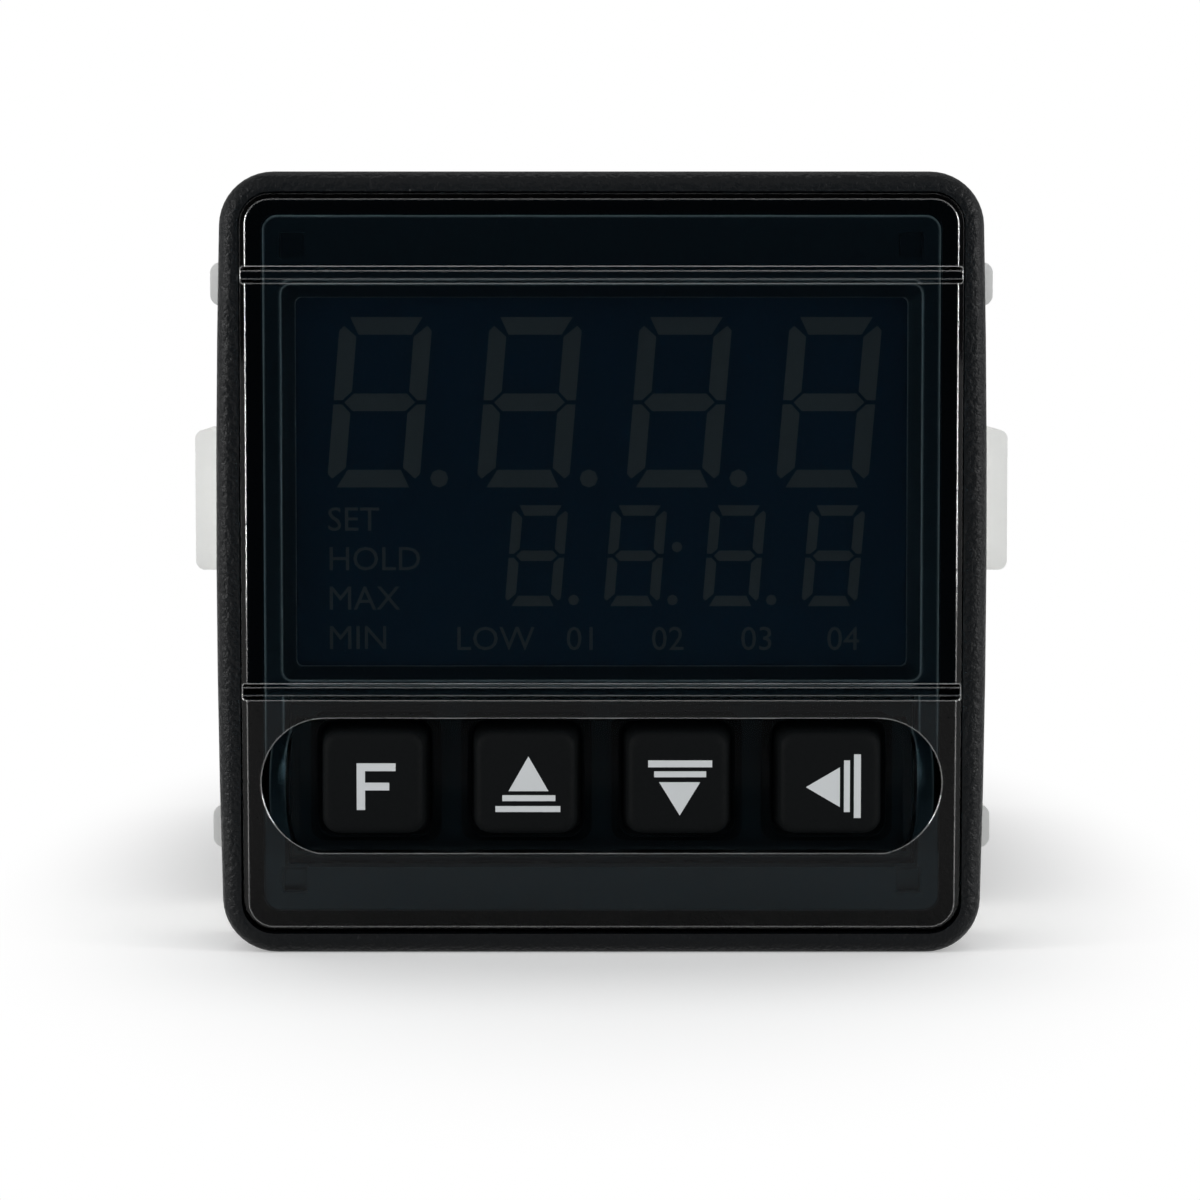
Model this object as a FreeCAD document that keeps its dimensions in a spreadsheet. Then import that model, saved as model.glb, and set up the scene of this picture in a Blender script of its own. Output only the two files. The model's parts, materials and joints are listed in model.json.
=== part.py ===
import FreeCAD, Part
import math
import os
import Sketcher
from FreeCAD import Placement, Rotation, Vector

# A square panel indicator. The panel it is fitted to has its front surface at y = 0.
# The face looks along -Y, X runs to the viewer's right, Z runs up.

# Sizes in millimetres. A height is a distance in front of the panel, a depth one behind it.
SIZES = (
    # bezel and sleeve, one moulding
    ("bezel_width", "48.0"),
    ("bezel_height", "48.7"),
    ("bezel_corner", "3.4"),
    ("bezel_bow", "0.28"),
    ("bezel_round", "1.0"),
    ("rim_width", "1.52"),
    ("rim_level", "1.25"),
    ("flange_depth", "5.4"),
    ("flange_overhang", "1.6"),
    ("sleeve_wall", "1.6"),
    ("sleeve_corner", "1.2"),
    ("sleeve_length", "72.8"),
    ("rail_width", "1.0"),
    ("rail_rise", "1.2"),
    ("rack_height", "8.0"),
    ("rack_rise", "3.35"),
    ("rack_pitch", "2.0"),
    ("rack_bite", "0.7"),
    ("rack_start", "5.0"),
    ("vent_length", "11.0"),
    ("vent_width", "1.6"),
    ("vent_pitch", "4.0"),
    ("vent_count", "7"),
    ("vent_start", "24.0"),
    ("gasket_thickness", "0.8"),
    ("gasket_inset", "0.6"),
    ("gasket_clearance", "0.1"),
    # front panel
    ("panel_gap", "0.15"),
    ("panel_corner", "1.9"),
    ("panel_proud", "1.0"),
    ("panel_thickness", "2.0"),
    ("panel_chamfer", "0.35"),
    ("skirt_depth", "1.8"),
    ("skirt_wall", "1.2"),
    ("band_height", "5.0"),
    ("chin_height", "15.1"),
    ("groove_width", "1.0"),
    ("groove_bite", "0.45"),
    ("chin_drop", "0.75"),
    ("post_width", "1.3"),
    ("post_length", "1.4"),
    ("post_inset", "2.6"),
    # key recess
    ("recess_end", "0.93"),
    ("recess_height", "8.45"),
    ("recess_depth", "2.2"),
    ("recess_margin", "1.65"),
    ("recess_slope", "1.8"),
    ("recess_end_sag", "0.57"),
    ("recess_wall", "0.8"),
    ("trough_depth", "0.55"),
    ("trough_end", "0.7"),
    ("pan_wall", "1.05"),
    # keys and switches
    ("key_inset", "4.1"),
    ("key_gap", "3.2"),
    ("key_rise", "0.25"),
    ("key_height", "6.35"),
    ("key_draft", "0.33"),
    ("key_corner", "0.85"),
    ("key_edge", "0.25"),
    ("key_proud", "0.1"),
    ("key_flange", "0.65"),
    ("key_flange_thickness", "0.8"),
    ("key_clearance", "0.2"),
    ("key_play", "0.1"),
    ("key_travel", "0.8"),
    ("key_reserve", "0.2"),
    ("switch_width", "6.0"),
    ("switch_body", "2.3"),
    ("plunger_radius", "1.7"),
    ("plunger_length", "1.3"),
    ("plunger_clearance", "0.1"),
    # display
    ("board_thickness", "1.6"),
    ("board_fit", "0.2"),
    ("frame_wall", "0.8"),
    ("frame_gap", "0.1"),
    ("frame_lip", "0.4"),
    ("frame_flare", "0.8"),
    ("frame_bay", "0.25"),
    ("post_clearance", "0.15"),
    ("lcd_fit", "0.1"),
    ("lcd_lip", "0.6"),
    ("lcd_sill", "0.65"),
    ("lcd_thickness", "2.0"),
    ("display_margin", "1.38"),
    ("guide_thickness", "2.2"),
    ("strip_width", "1.0"),
    ("led_width", "1.0"),
    ("led_height", "3.5"),
    ("led_rise", "1.4"),
    ("segment_thickness", "0.05"),
    ("digit_margin", "1.22"),
    ("row_gap", "1.12"),
    ("legend_band", "3.73"),
    ("digit_left", "1.9"),
    ("digit_right", "1.54"),
    ("small_right", "2.56"),
    ("digit_slant", "4.8"),
    ("segment_gap", "0.13"),
    # clamp
    ("clamp_gap", "3.0"),
    ("clamp_depth", "14.0"),
    ("clamp_clearance", "0.15"),
    ("clamp_side", "1.6"),
    ("clamp_flat", "1.1"),
    ("clamp_corner", "2.2"),
    ("tab_height", "9.2"),
    ("tab_reach", "2.5"),
    ("tab_depth", "8.0"),
    ("tab_round", "0.6"),
    ("lug_height", "2.8"),
    ("lug_reach", "0.9"),
    ("lug_rise", "17.45"),
    ("slit_width", "0.8"),
    ("slit_depth", "10.5"),
    ("pawl_relief", "0.75"),
    ("pawl_tooth", "0.7"),
    ("pawl_count", "3"),
    # rear
    ("cover_thickness", "1.6"),
    ("cover_fit", "0.15"),
    ("leg_width", "8.0"),
    ("leg_thickness", "1.1"),
    ("leg_length", "9.0"),
    ("snap_length", "2.4"),
    ("snap_rise", "0.9"),
    ("snap_fit", "0.2"),
    ("cover_vent", "11.0"),
    ("board_gap", "0.4"),
    ("block_width", "10.8"),
    ("block_depth", "16.0"),
    ("block_proud", "3.0"),
    ("block_margin", "2.4"),
    ("block_end", "0.8"),
    ("screw_offset", "2.7"),
    ("well_radius", "2.2"),
    ("well_depth", "3.4"),
    ("screw_head", "1.95"),
    ("screw_head_depth", "2.0"),
    ("screw_shank", "1.4"),
    ("screw_length", "8.0"),
    ("screw_clearance", "0.1"),
    ("screw_slot", "0.7"),
    ("entry_width", "3.6"),
    ("entry_height", "4.2"),
    ("entry_depth", "10.0"),
    ("cage_fit", "0.05"),
    ("cage_wall", "0.5"),
    ("cage_length", "5.0"),
    ("header_width", "2.5"),
    ("header_length", "20.0"),
    ("relay_length", "19.0"),
    ("relay_width", "10.0"),
    ("relay_rise", "15.0"),
    ("relay_gap", "2.8"),
    ("relay_split", "2.0"),
    ("core_back", "22.0"),
    ("core_drop", "4.0"),
    ("core_length", "16.0"),
    ("core_width", "15.0"),
    ("core_depth", "5.0"),
    ("core_leg", "4.0"),
    ("core_yoke", "3.0"),
    ("core_side", "2.2"),
    ("winding_fit", "0.1"),
    ("winding_depth", "3.1"),
    ("capacitor_radius", "5.0"),
    ("capacitor_length", "16.0"),
    ("capacitor_gap", "12.8"),
    ("capacitor_lift", "9.0"),
    ("varistor_radius", "5.0"),
    ("varistor_thickness", "4.0"),
    ("varistor_gap", "4.8"),
    ("varistor_drop", "14.0"),
    ("varistor_stand", "1.0"),
    ("pin_length", "4.0"),
    ("pin_width", "0.4"),
    ("pin_spread", "4.6"),
    ("chip_width", "10.0"),
    ("chip_rise", "1.4"),
    ("chip_back", "16.0"),
)
TERMINALS = 6

doc = FreeCAD.newDocument("PanelIndicator")
sheet = doc.addObject("Spreadsheet::Sheet", "Sizes")
for row, (alias, number) in enumerate(SIZES, 1):
    sheet.set(f"A{row}", alias)
    sheet.set(f"B{row}", number)
    sheet.setAlias(f"B{row}", alias)
doc.recompute()


def size(expression):
    """The number that an expression of sheet cells comes to."""
    return float(sheet.evalExpression(expression))


# Sizes that follow from the sheet
PANEL_WIDTH = "(Sizes.bezel_width - 2 * (Sizes.rim_width + Sizes.panel_gap))"
PANEL_HEIGHT = "(Sizes.bezel_height - 2 * (Sizes.rim_level + Sizes.panel_gap))"
SLEEVE_WIDTH = "(Sizes.bezel_width - 2 * Sizes.flange_overhang)"
SLEEVE_HEIGHT = "(Sizes.bezel_height - 2 * Sizes.flange_overhang)"
CAVITY_WIDTH = f"({SLEEVE_WIDTH} - 2 * Sizes.sleeve_wall)"
CAVITY_HEIGHT = f"({SLEEVE_HEIGHT} - 2 * Sizes.sleeve_wall)"

# Heights in front of the panel, from the rim back to the display board
RIM = "(Sizes.gasket_thickness + Sizes.flange_depth)"
PANEL_FRONT = f"({RIM} + Sizes.panel_proud)"
PANEL_BACK = f"({PANEL_FRONT} - Sizes.panel_thickness)"
LEDGE = f"({PANEL_BACK} - Sizes.skirt_depth)"
RECESS_FLOOR = f"({PANEL_FRONT} - Sizes.recess_depth)"
PAN_BACK = f"({RECESS_FLOOR} - Sizes.trough_depth - Sizes.pan_wall)"
KEY_SHOULDER = f"({PAN_BACK} - Sizes.key_play)"
KEY_BOTTOM = f"({KEY_SHOULDER} - Sizes.key_flange_thickness)"
KEY_FACE = f"({PANEL_FRONT} + Sizes.key_proud)"
SWITCH_TOP = f"({KEY_BOTTOM} - Sizes.key_travel - Sizes.key_reserve)"
BOARD_FRONT = f"({SWITCH_TOP} - Sizes.switch_body)"
BOARD_BACK = f"({BOARD_FRONT} - Sizes.board_thickness)"
LCD_BACK = f"({BOARD_FRONT} + Sizes.guide_thickness)"
LCD_FRONT = f"({LCD_BACK} + Sizes.lcd_thickness)"
FRAME_FRONT = f"({PANEL_BACK} - Sizes.frame_gap)"

# Places on the face, from its centre
GROOVE_UPPER = f"({PANEL_HEIGHT} / 2 - Sizes.band_height)"
GROOVE_LOWER = f"({PANEL_HEIGHT} / 2 - Sizes.chin_height)"
RECESS_Z = f"(-({GROOVE_LOWER} + Sizes.recess_margin + Sizes.recess_height / 2))"
KEY_Z = f"({RECESS_Z} + Sizes.key_rise)"
DISPLAY_Z = f"(({GROOVE_UPPER} - {GROOVE_LOWER}) / 2)"
VIEW_HEIGHT = f"({GROOVE_UPPER} + {GROOVE_LOWER} - 2 * Sizes.display_margin)"
LCD_HEIGHT = f"({VIEW_HEIGHT} + 2 * Sizes.lcd_sill)"
FRAME_WIDTH = f"({CAVITY_WIDTH} - 2 * Sizes.board_fit)"
FRAME_HEIGHT = f"({CAVITY_HEIGHT} - 2 * Sizes.board_fit)"
PAN_WIDTH = f"({FRAME_WIDTH} - 2 * Sizes.frame_wall - 2 * Sizes.frame_bay)"
POST_X = f"({PANEL_WIDTH} / 2 - Sizes.skirt_wall - Sizes.post_inset + Sizes.post_width / 2)"
POST_Z = f"({PANEL_HEIGHT} / 2 - Sizes.skirt_wall - Sizes.post_inset + Sizes.post_width / 2)"
POST_PLACES = [(f"{side}{POST_X}", f"{level}{POST_Z}") for side in ("-", "") for level in ("-", "")]
LCD_WIDTH = f"({FRAME_WIDTH} - 2 * (Sizes.frame_wall + Sizes.lcd_fit))"
VIEW_WIDTH = f"({LCD_WIDTH} - 2 * Sizes.lcd_lip)"
RECESS_LENGTH = f"({PANEL_WIDTH} - 2 * Sizes.recess_end)"
RECESS_FLOOR_LENGTH = f"({RECESS_LENGTH} - 2 * Sizes.recess_slope)"
KEY_WIDTH = f"(({RECESS_LENGTH} - 2 * Sizes.key_inset - 3 * Sizes.key_gap) / 4)"
KEY_PITCH = f"({KEY_WIDTH} + Sizes.key_gap)"
KEY_X = [f"({step} * {KEY_PITCH})" for step in (-1.5, -0.5, 0.5, 1.5)]

# Depths behind the panel
COVER_FRONT = "(Sizes.sleeve_length - Sizes.cover_thickness)"
BLOCK_REAR = "(Sizes.sleeve_length + Sizes.block_proud)"
BLOCK_FRONT = f"({BLOCK_REAR} - Sizes.block_depth)"
BLOCK_HEIGHT = f"({CAVITY_HEIGHT} - 2 * Sizes.block_margin)"
BLOCK_PITCH = f"(({BLOCK_HEIGHT} - 2 * Sizes.block_end) / {TERMINALS})"
BOARD_FACE = f"({CAVITY_WIDTH} / 2 - Sizes.cover_fit - Sizes.board_thickness)"
BLOCK_X = f"({BOARD_FACE} - Sizes.block_width / 2)"


def new_body(label):
    body = doc.addObject("PartDesign::Body", label)
    body.Label = label
    return body


def new_sketch(body, name, plane, offset):
    """A sketch on one of the body's own planes. On XZ the offset is a height."""
    sketch = body.newObject("Sketcher::SketchObject", f"{body.Name}_{name}")
    planes = [f for f in body.Origin.OriginFeatures if f.Role == f"{plane}_Plane"]
    sketch.AttachmentSupport = [(planes[0], "")]
    sketch.MapMode = "FlatFace"
    sketch.setExpression("AttachmentOffset.Base.z", offset)
    return sketch


def face_sketch(body, name, height):
    return new_sketch(body, name, "XZ", height)


def bound(sketch, constraint, expression):
    index = sketch.addConstraint(constraint)
    sketch.setExpression(f"Constraints[{index}]", expression)


def hold(sketch, geometry, point, across, up):
    """Ties a point of the sketch to its axes with bound distances."""
    for kind, axis, expression in (("DistanceX", -2, across), ("DistanceY", -1, up)):
        reach = size(expression)
        if abs(reach) < 1e-9:
            sketch.addConstraint(Sketcher.Constraint("PointOnObject", geometry, point, axis))
        elif reach > 0:
            bound(sketch, Sketcher.Constraint(kind, -1, 1, geometry, point, reach), expression)
        else:
            flipped = Sketcher.Constraint(kind, geometry, point, -1, 1, -reach)
            bound(sketch, flipped, f"-({expression})")


def polygon(sketch, corners):
    first = len(sketch.Geometry)
    points = [Vector(size(across), size(up), 0) for across, up in corners]
    count = len(points)
    for i in range(count):
        sketch.addGeometry(Part.LineSegment(points[i], points[(i + 1) % count]))
    for i in range(count):
        after = first + (i + 1) % count
        sketch.addConstraint(Sketcher.Constraint("Coincident", first + i, 2, after, 1))
    for i in range(count):
        hold(sketch, first + i, 1, *corners[i])


def rectangle(sketch, width, height, across="0", up="0"):
    left, right = f"{across} - {width} / 2", f"{across} + {width} / 2"
    low, high = f"{up} - {height} / 2", f"{up} + {height} / 2"
    polygon(sketch, [(left, low), (right, low), (right, high), (left, high)])


def arc(centre, radius, start, end):
    circle_at = Part.Circle(centre, Vector(0, 0, 1), radius)
    return Part.ArcOfCircle(circle_at, math.radians(start), math.radians(end))


def chain(sketch, first, arcs):
    """Joins each arc to the line after it and that line to the next arc, tangent."""
    for i in range(arcs):
        line, after = first + arcs + i, first + (i + 1) % arcs
        sketch.addConstraint(Sketcher.Constraint("Tangent", first + i, 2, line, 1))
        sketch.addConstraint(Sketcher.Constraint("Tangent", line, 2, after, 1))


def ring_of_arcs(sketch, centres, radius, turn):
    """Equal arcs about the centres, counter-clockwise, with tangent lines between."""
    first, count = len(sketch.Geometry), len(centres)
    places = [Vector(size(across), size(up), 0) for across, up in centres]
    bends = [arc(p, size(radius), turn + i * 360 / count, turn + (i + 1) * 360 / count)
             for i, p in enumerate(places)]
    for bend in bends:
        sketch.addGeometry(bend)
    for i in range(count):
        sketch.addGeometry(Part.LineSegment(bends[i].EndPoint, bends[(i + 1) % count].StartPoint))
    chain(sketch, first, count)
    for i in range(count):
        hold(sketch, first + i, 3, *centres[i])
    for i in range(1, count):
        sketch.addConstraint(Sketcher.Constraint("Equal", first, first + i))
    bound(sketch, Sketcher.Constraint("Radius", first, size(radius)), radius)


def rounded_rectangle(sketch, width, height, radius, across="0", up="0"):
    half, rise = f"({width} / 2 - {radius})", f"({height} / 2 - {radius})"
    signs = (("-", "-"), ("+", "-"), ("+", "+"), ("-", "+"))
    centres = [(f"{across} {a} {half}", f"{up} {b} {rise}") for a, b in signs]
    ring_of_arcs(sketch, centres, radius, 180)


def stadium(sketch, length, height, across="0", up="0"):
    half = f"({length} - {height}) / 2"
    centres = [(f"{across} + {half}", up), (f"{across} - {half}", up)]
    ring_of_arcs(sketch, centres, f"{height} / 2", -90)


def many_sided(sketch, radius, sides, across, up):
    """A near-round hole with few faces."""
    turns = [2 * math.pi * (i + 0.5) / sides for i in range(sides)]
    corners = [(f"{radius} * {math.cos(a):.6f}", f"{radius} * {math.sin(a):.6f}") for a in turns]
    polygon(sketch, [(f"{across} + {right}", f"{up} + {rise}") for right, rise in corners])


def feature(body, kind, sketch, name=None):
    made = body.newObject(f"PartDesign::{kind}", f"{sketch.Name}_{name or kind}")
    made.Profile = sketch
    body.Tip = made
    return made


def pad(body, sketch, length, across=False):
    made = feature(body, "Pad", sketch)
    made.SideType = "Symmetric" if across else "One side"
    made.setExpression("Length", length)
    return made


def pocket(body, sketch, length, across=False, forward=False):
    """Cuts backwards from a face sketch, or forwards, or to both sides of it."""
    made = feature(body, "Pocket", sketch)
    made.SideType = "Symmetric" if across else "One side"
    made.Reversed = forward
    made.setExpression("Length", length)
    return made


def pocket_through(body, sketch):
    made = feature(body, "Pocket", sketch)
    made.Type = "ThroughAll"
    made.SideType = "Symmetric"
    return made


def loft(body, kind, first, second):
    made = feature(body, kind, first)
    made.Sections = [second]
    made.Ruled = True
    return made


def pattern(body, original, axis, length, count, reverse=False):
    made = body.newObject("PartDesign::LinearPattern", f"{original.Name}_Row")
    made.Originals = [original]
    made.Direction = (original.Profile[0], [axis])
    made.Reversed = reverse
    made.setExpression("Length", length)
    made.setExpression("Occurrences", count)
    body.Tip = made
    return made


def dress(body, kind, name, wanted, amount):
    """A fillet or chamfer on the edges of the body that the test picks."""
    doc.recompute()
    base = body.Tip
    edges = [f"Edge{i}" for i, edge in enumerate(base.Shape.Edges, 1) if wanted(edge)]
    made = body.newObject(f"PartDesign::{kind}", f"{body.Name}_{name}")
    made.Base = (base, edges)
    made.setExpression("Radius" if kind == "Fillet" else "Size", amount)
    body.Tip = made
    return made


def block(name, lengths, corner):
    box = doc.addObject("Part::Box", name)
    box.Label = name
    for prop, expression in zip(("Length", "Width", "Height"), lengths):
        box.setExpression(prop, expression)
    for axis, expression in zip("xyz", corner):
        box.setExpression(f"Placement.Base.{axis}", expression)
    return box


def rod(name, radius, length, end, axis, sides=0):
    """A cylinder, or a prism where so many sides are asked for."""
    made = doc.addObject("Part::Prism" if sides else "Part::Cylinder", name)
    made.Label = name
    if sides:
        made.Polygon = sides
    made.setExpression("Circumradius" if sides else "Radius", radius)
    made.setExpression("Height", length)
    made.Placement = Placement(Vector(), Rotation(Vector(0, 0, 1), axis))
    for coordinate, expression in zip("xyz", end):
        made.setExpression(f"Placement.Base.{coordinate}", expression)
    return made


def cut(name, base, tool):
    made = doc.addObject("Part::Cut", name)
    made.Label = name
    made.Base = base
    made.Tool = tool
    return made


def fuse(name, shapes):
    made = doc.addObject("Part::MultiFuse", name)
    made.Label = name
    made.Shapes = shapes
    return made


def group(name, links):
    made = doc.addObject("Part::Compound", name)
    made.Label = name
    made.Links = links
    return made


def far_front(edge, height, slack=1e-4):
    box = edge.BoundBox
    return box.YMin < -height + slack and box.YMax < -height + slack


# Case: bowed bezel, panel seat, sleeve, rails, racks, vents
def bezel_outline(sketch):
    """Level top and bottom, sides that bow outwards, equal corners."""
    bow, corner = size("Sizes.bezel_bow"), size("Sizes.bezel_corner")
    wide, tall = size("Sizes.bezel_width") / 2, size("Sizes.bezel_height") / 2
    chord = "(Sizes.bezel_height / 2 - Sizes.bezel_corner)"
    side = f"(({chord} ^ 2 + Sizes.bezel_bow ^ 2) / (2 * Sizes.bezel_bow))"
    big = size(side)
    back = big - wide
    rise = tall - corner
    reach = math.sqrt((big - corner) ** 2 - rise ** 2) - back
    lean = math.degrees(math.atan2(rise, reach + back))
    corners = [(reach, rise, lean, 90), (-reach, rise, 90, 180 - lean),
               (-reach, -rise, 180 + lean, 270), (reach, -rise, 270, 360 - lean)]
    for x, z, start, end in corners:
        sketch.addGeometry(arc(Vector(x, z, 0), corner, start, end))
    sketch.addGeometry(arc(Vector(-back, 0, 0), big, -lean, lean))
    sketch.addGeometry(arc(Vector(back, 0, 0), big, 180 - lean, 180 + lean))
    sketch.addGeometry(Part.LineSegment(Vector(reach, tall, 0), Vector(-reach, tall, 0)))
    sketch.addGeometry(Part.LineSegment(Vector(-reach, -tall, 0), Vector(reach, -tall, 0)))
    joins = ((4, 2, 0, 1), (0, 2, 6, 1), (6, 2, 1, 1), (1, 2, 5, 1),
             (5, 2, 2, 1), (2, 2, 7, 1), (7, 2, 3, 1), (3, 2, 4, 1))
    for join in joins:
        sketch.addConstraint(Sketcher.Constraint("Tangent", *join))
    for index, place in ((4, f"Sizes.bezel_width / 2 - {side}"), (5, f"{side} - Sizes.bezel_width / 2")):
        hold(sketch, index, 3, place, "0")
        bound(sketch, Sketcher.Constraint("Radius", index, big), side)
    for index in (0, 1, 2, 3):
        bound(sketch, Sketcher.Constraint("Radius", index, corner), "Sizes.bezel_corner")
    for index, kind in ((0, ""), (2, "-")):
        place = f"{kind}(Sizes.bezel_height / 2 - Sizes.bezel_corner)"
        level = Sketcher.Constraint("DistanceY", -1, 1, index, 3, rise)
        if kind:
            level = Sketcher.Constraint("DistanceY", index, 3, -1, 1, rise)
        bound(sketch, level, "Sizes.bezel_height / 2 - Sizes.bezel_corner")
    for line in (6, 7):
        sketch.addConstraint(Sketcher.Constraint("Horizontal", line))


case = new_body("case")
outline = face_sketch(case, "Bezel", "Sizes.gasket_thickness")
bezel_outline(outline)
pad(case, outline, "Sizes.flange_depth")
dress(case, "Fillet", "RimRound", lambda e: far_front(e, size(RIM)), "Sizes.bezel_round")

sleeve = face_sketch(case, "Sleeve", "-Sizes.sleeve_length")
rounded_rectangle(sleeve, SLEEVE_WIDTH, SLEEVE_HEIGHT, "Sizes.sleeve_corner")
pad(case, sleeve, "Sizes.sleeve_length + Sizes.gasket_thickness + 0.5")

seat = face_sketch(case, "PanelSeat", RIM)
seat_width = f"({PANEL_WIDTH} + 2 * Sizes.panel_gap)"
seat_height = f"({PANEL_HEIGHT} + 2 * Sizes.panel_gap)"
rounded_rectangle(seat, seat_width, seat_height, "(Sizes.panel_corner + Sizes.panel_gap)")
pocket(case, seat, f"{RIM} - {LEDGE}")

cavity = face_sketch(case, "Cavity", RIM)
rectangle(cavity, CAVITY_WIDTH, CAVITY_HEIGHT)
pocket_through(case, cavity)

rails = face_sketch(case, "Rails", f"-{COVER_FRONT}")
for side in ("-", "+"):
    for level in ("-", "+"):
        inner = f"({BOARD_FACE} - Sizes.cover_fit - Sizes.rail_width / 2)"
        rise = f"({CAVITY_HEIGHT} / 2 - (Sizes.rail_rise - 0.3) / 2)"
        rectangle(rails, "Sizes.rail_width", "(Sizes.rail_rise + 0.3)", f"{side}{inner}", f"{level}{rise}")
pad(case, rails, f"{COVER_FRONT} + {BOARD_BACK}")

tooth = new_sketch(case, "Rack", "XY", "Sizes.rack_rise")
for side in ("", "-"):
    wall = f"{SLEEVE_WIDTH} / 2"
    start = "Sizes.rack_start"
    polygon(tooth, [
        (f"{side}({wall} + 0.3)", start),
        (f"{side}({wall})", start),
        (f"{side}({wall} - Sizes.rack_bite)", f"{start} + Sizes.rack_pitch * 0.8"),
        (f"{side}({wall} + 0.3)", f"{start} + Sizes.rack_pitch * 0.8"),
    ])
tooth_cut = pocket(case, tooth, "Sizes.rack_height", across=True)
teeth = "floor((Sizes.sleeve_length - Sizes.rack_start) / Sizes.rack_pitch)"
pattern(case, tooth_cut, "V_Axis", f"({teeth} - 1) * Sizes.rack_pitch", teeth)

vents = new_sketch(case, "Vents", "XY", "0")
for side in ("-", ""):
    place = f"{side}Sizes.vent_length * 0.65"
    rectangle(vents, "Sizes.vent_length", "Sizes.vent_width", place, "Sizes.vent_start")
vent_cut = pocket_through(case, vents)
pattern(case, vent_cut, "V_Axis", "(Sizes.vent_count - 1) * Sizes.vent_pitch", "Sizes.vent_count")

SNAP_DEPTH = f"({COVER_FRONT} - Sizes.leg_length + Sizes.snap_length / 2)"
windows = new_sketch(case, "SnapWindows", "XY", "0")
window_width = "(Sizes.leg_width + 2 * Sizes.snap_fit)"
rectangle(windows, window_width, "(Sizes.snap_length + 2 * Sizes.snap_fit)", "0", SNAP_DEPTH)
pocket_through(case, windows)

# Gasket
panel_gasket = new_body("panel_gasket")
ring = face_sketch(panel_gasket, "Ring", "0")
ring_width = "(Sizes.bezel_width - 2 * (Sizes.gasket_inset + Sizes.bezel_bow))"
ring_height = "(Sizes.bezel_height - 2 * Sizes.gasket_inset)"
rounded_rectangle(ring, ring_width, ring_height, "(Sizes.bezel_corner - Sizes.gasket_inset)")
hole_width = f"({SLEEVE_WIDTH} + 2 * Sizes.gasket_clearance)"
hole_height = f"({SLEEVE_HEIGHT} + 2 * Sizes.gasket_clearance)"
rounded_rectangle(ring, hole_width, hole_height, "(Sizes.sleeve_corner + Sizes.gasket_clearance)")
pad(panel_gasket, ring, "Sizes.gasket_thickness")

# Front panel: plate and skirt, chin, chamfered rim, grooves, key recess, posts
front_panel = new_body("front_panel")
plate = face_sketch(front_panel, "Plate", LEDGE)
rounded_rectangle(plate, PANEL_WIDTH, PANEL_HEIGHT, "Sizes.panel_corner")
pad(front_panel, plate, "Sizes.panel_thickness + Sizes.skirt_depth")

chin = new_sketch(front_panel, "Chin", "YZ", "0")
polygon(chin, [
    (f"-{PANEL_FRONT}", f"-{GROOVE_LOWER}"),
    (f"-{PANEL_FRONT} + Sizes.chin_drop", f"-{PANEL_HEIGHT} / 2"),
    (f"-{PANEL_FRONT} + Sizes.chin_drop", f"-{PANEL_HEIGHT} / 2 - 1"),
    (f"-{PANEL_FRONT} - 1", f"-{PANEL_HEIGHT} / 2 - 1"),
    (f"-{PANEL_FRONT} - 1", f"-{GROOVE_LOWER}"),
])
pocket_through(front_panel, chin)

hollow = face_sketch(front_panel, "Hollow", LEDGE)
hollow_width, hollow_height = (f"({side} - 2 * Sizes.skirt_wall)" for side in (PANEL_WIDTH, PANEL_HEIGHT))
rounded_rectangle(hollow, hollow_width, hollow_height, "(Sizes.panel_corner / 2)")
pocket(front_panel, hollow, "Sizes.skirt_depth", forward=True)


def panel_rim(edge):
    """Edges of the panel's front outline, on its flat part and on its chin."""
    box = edge.BoundBox
    front, drop = -size(PANEL_FRONT), size("Sizes.chin_drop")
    inside = box.XMax < size(PANEL_WIDTH) / 2 - 2.5 and box.XMin > -size(PANEL_WIDTH) / 2 + 2.5
    level = abs(box.ZMax + size(GROOVE_LOWER)) < 1e-3 and box.ZLength < 1e-3
    return box.YMax < front + drop + 1e-3 and not inside and not level


dress(front_panel, "Chamfer", "Edge", panel_rim, "Sizes.panel_chamfer")

grooves = new_sketch(front_panel, "Grooves", "YZ", "0")
for level in (GROOVE_UPPER, f"-{GROOVE_LOWER}"):
    polygon(grooves, [
        (f"-{PANEL_FRONT} - 1", f"{level} - Sizes.groove_width / 2"),
        (f"-{PANEL_FRONT} - 1", f"{level} + Sizes.groove_width / 2"),
        (f"-{PANEL_FRONT} + Sizes.groove_bite / 2", f"{level} + Sizes.groove_width / 2"),
        (f"-{PANEL_FRONT} + Sizes.groove_bite", f"{level} + Sizes.groove_width / 4"),
        (f"-{PANEL_FRONT} + Sizes.groove_bite", f"{level} - Sizes.groove_width / 4"),
        (f"-{PANEL_FRONT} + Sizes.groove_bite / 2", f"{level} - Sizes.groove_width / 2"),
    ])
pocket_through(front_panel, grooves)

pan = face_sketch(front_panel, "Pan", PAN_BACK)
rectangle(pan, PAN_WIDTH, "(Sizes.recess_height + 2 * Sizes.recess_wall)", "0", RECESS_Z)
pad(front_panel, pan, f"{PANEL_BACK} - {PAN_BACK} + 0.2")

mouth = face_sketch(front_panel, "RecessMouth", PANEL_FRONT)
stadium(mouth, RECESS_LENGTH, "Sizes.recess_height", "0", RECESS_Z)
floor_line = face_sketch(front_panel, "RecessFloor", RECESS_FLOOR)


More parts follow.
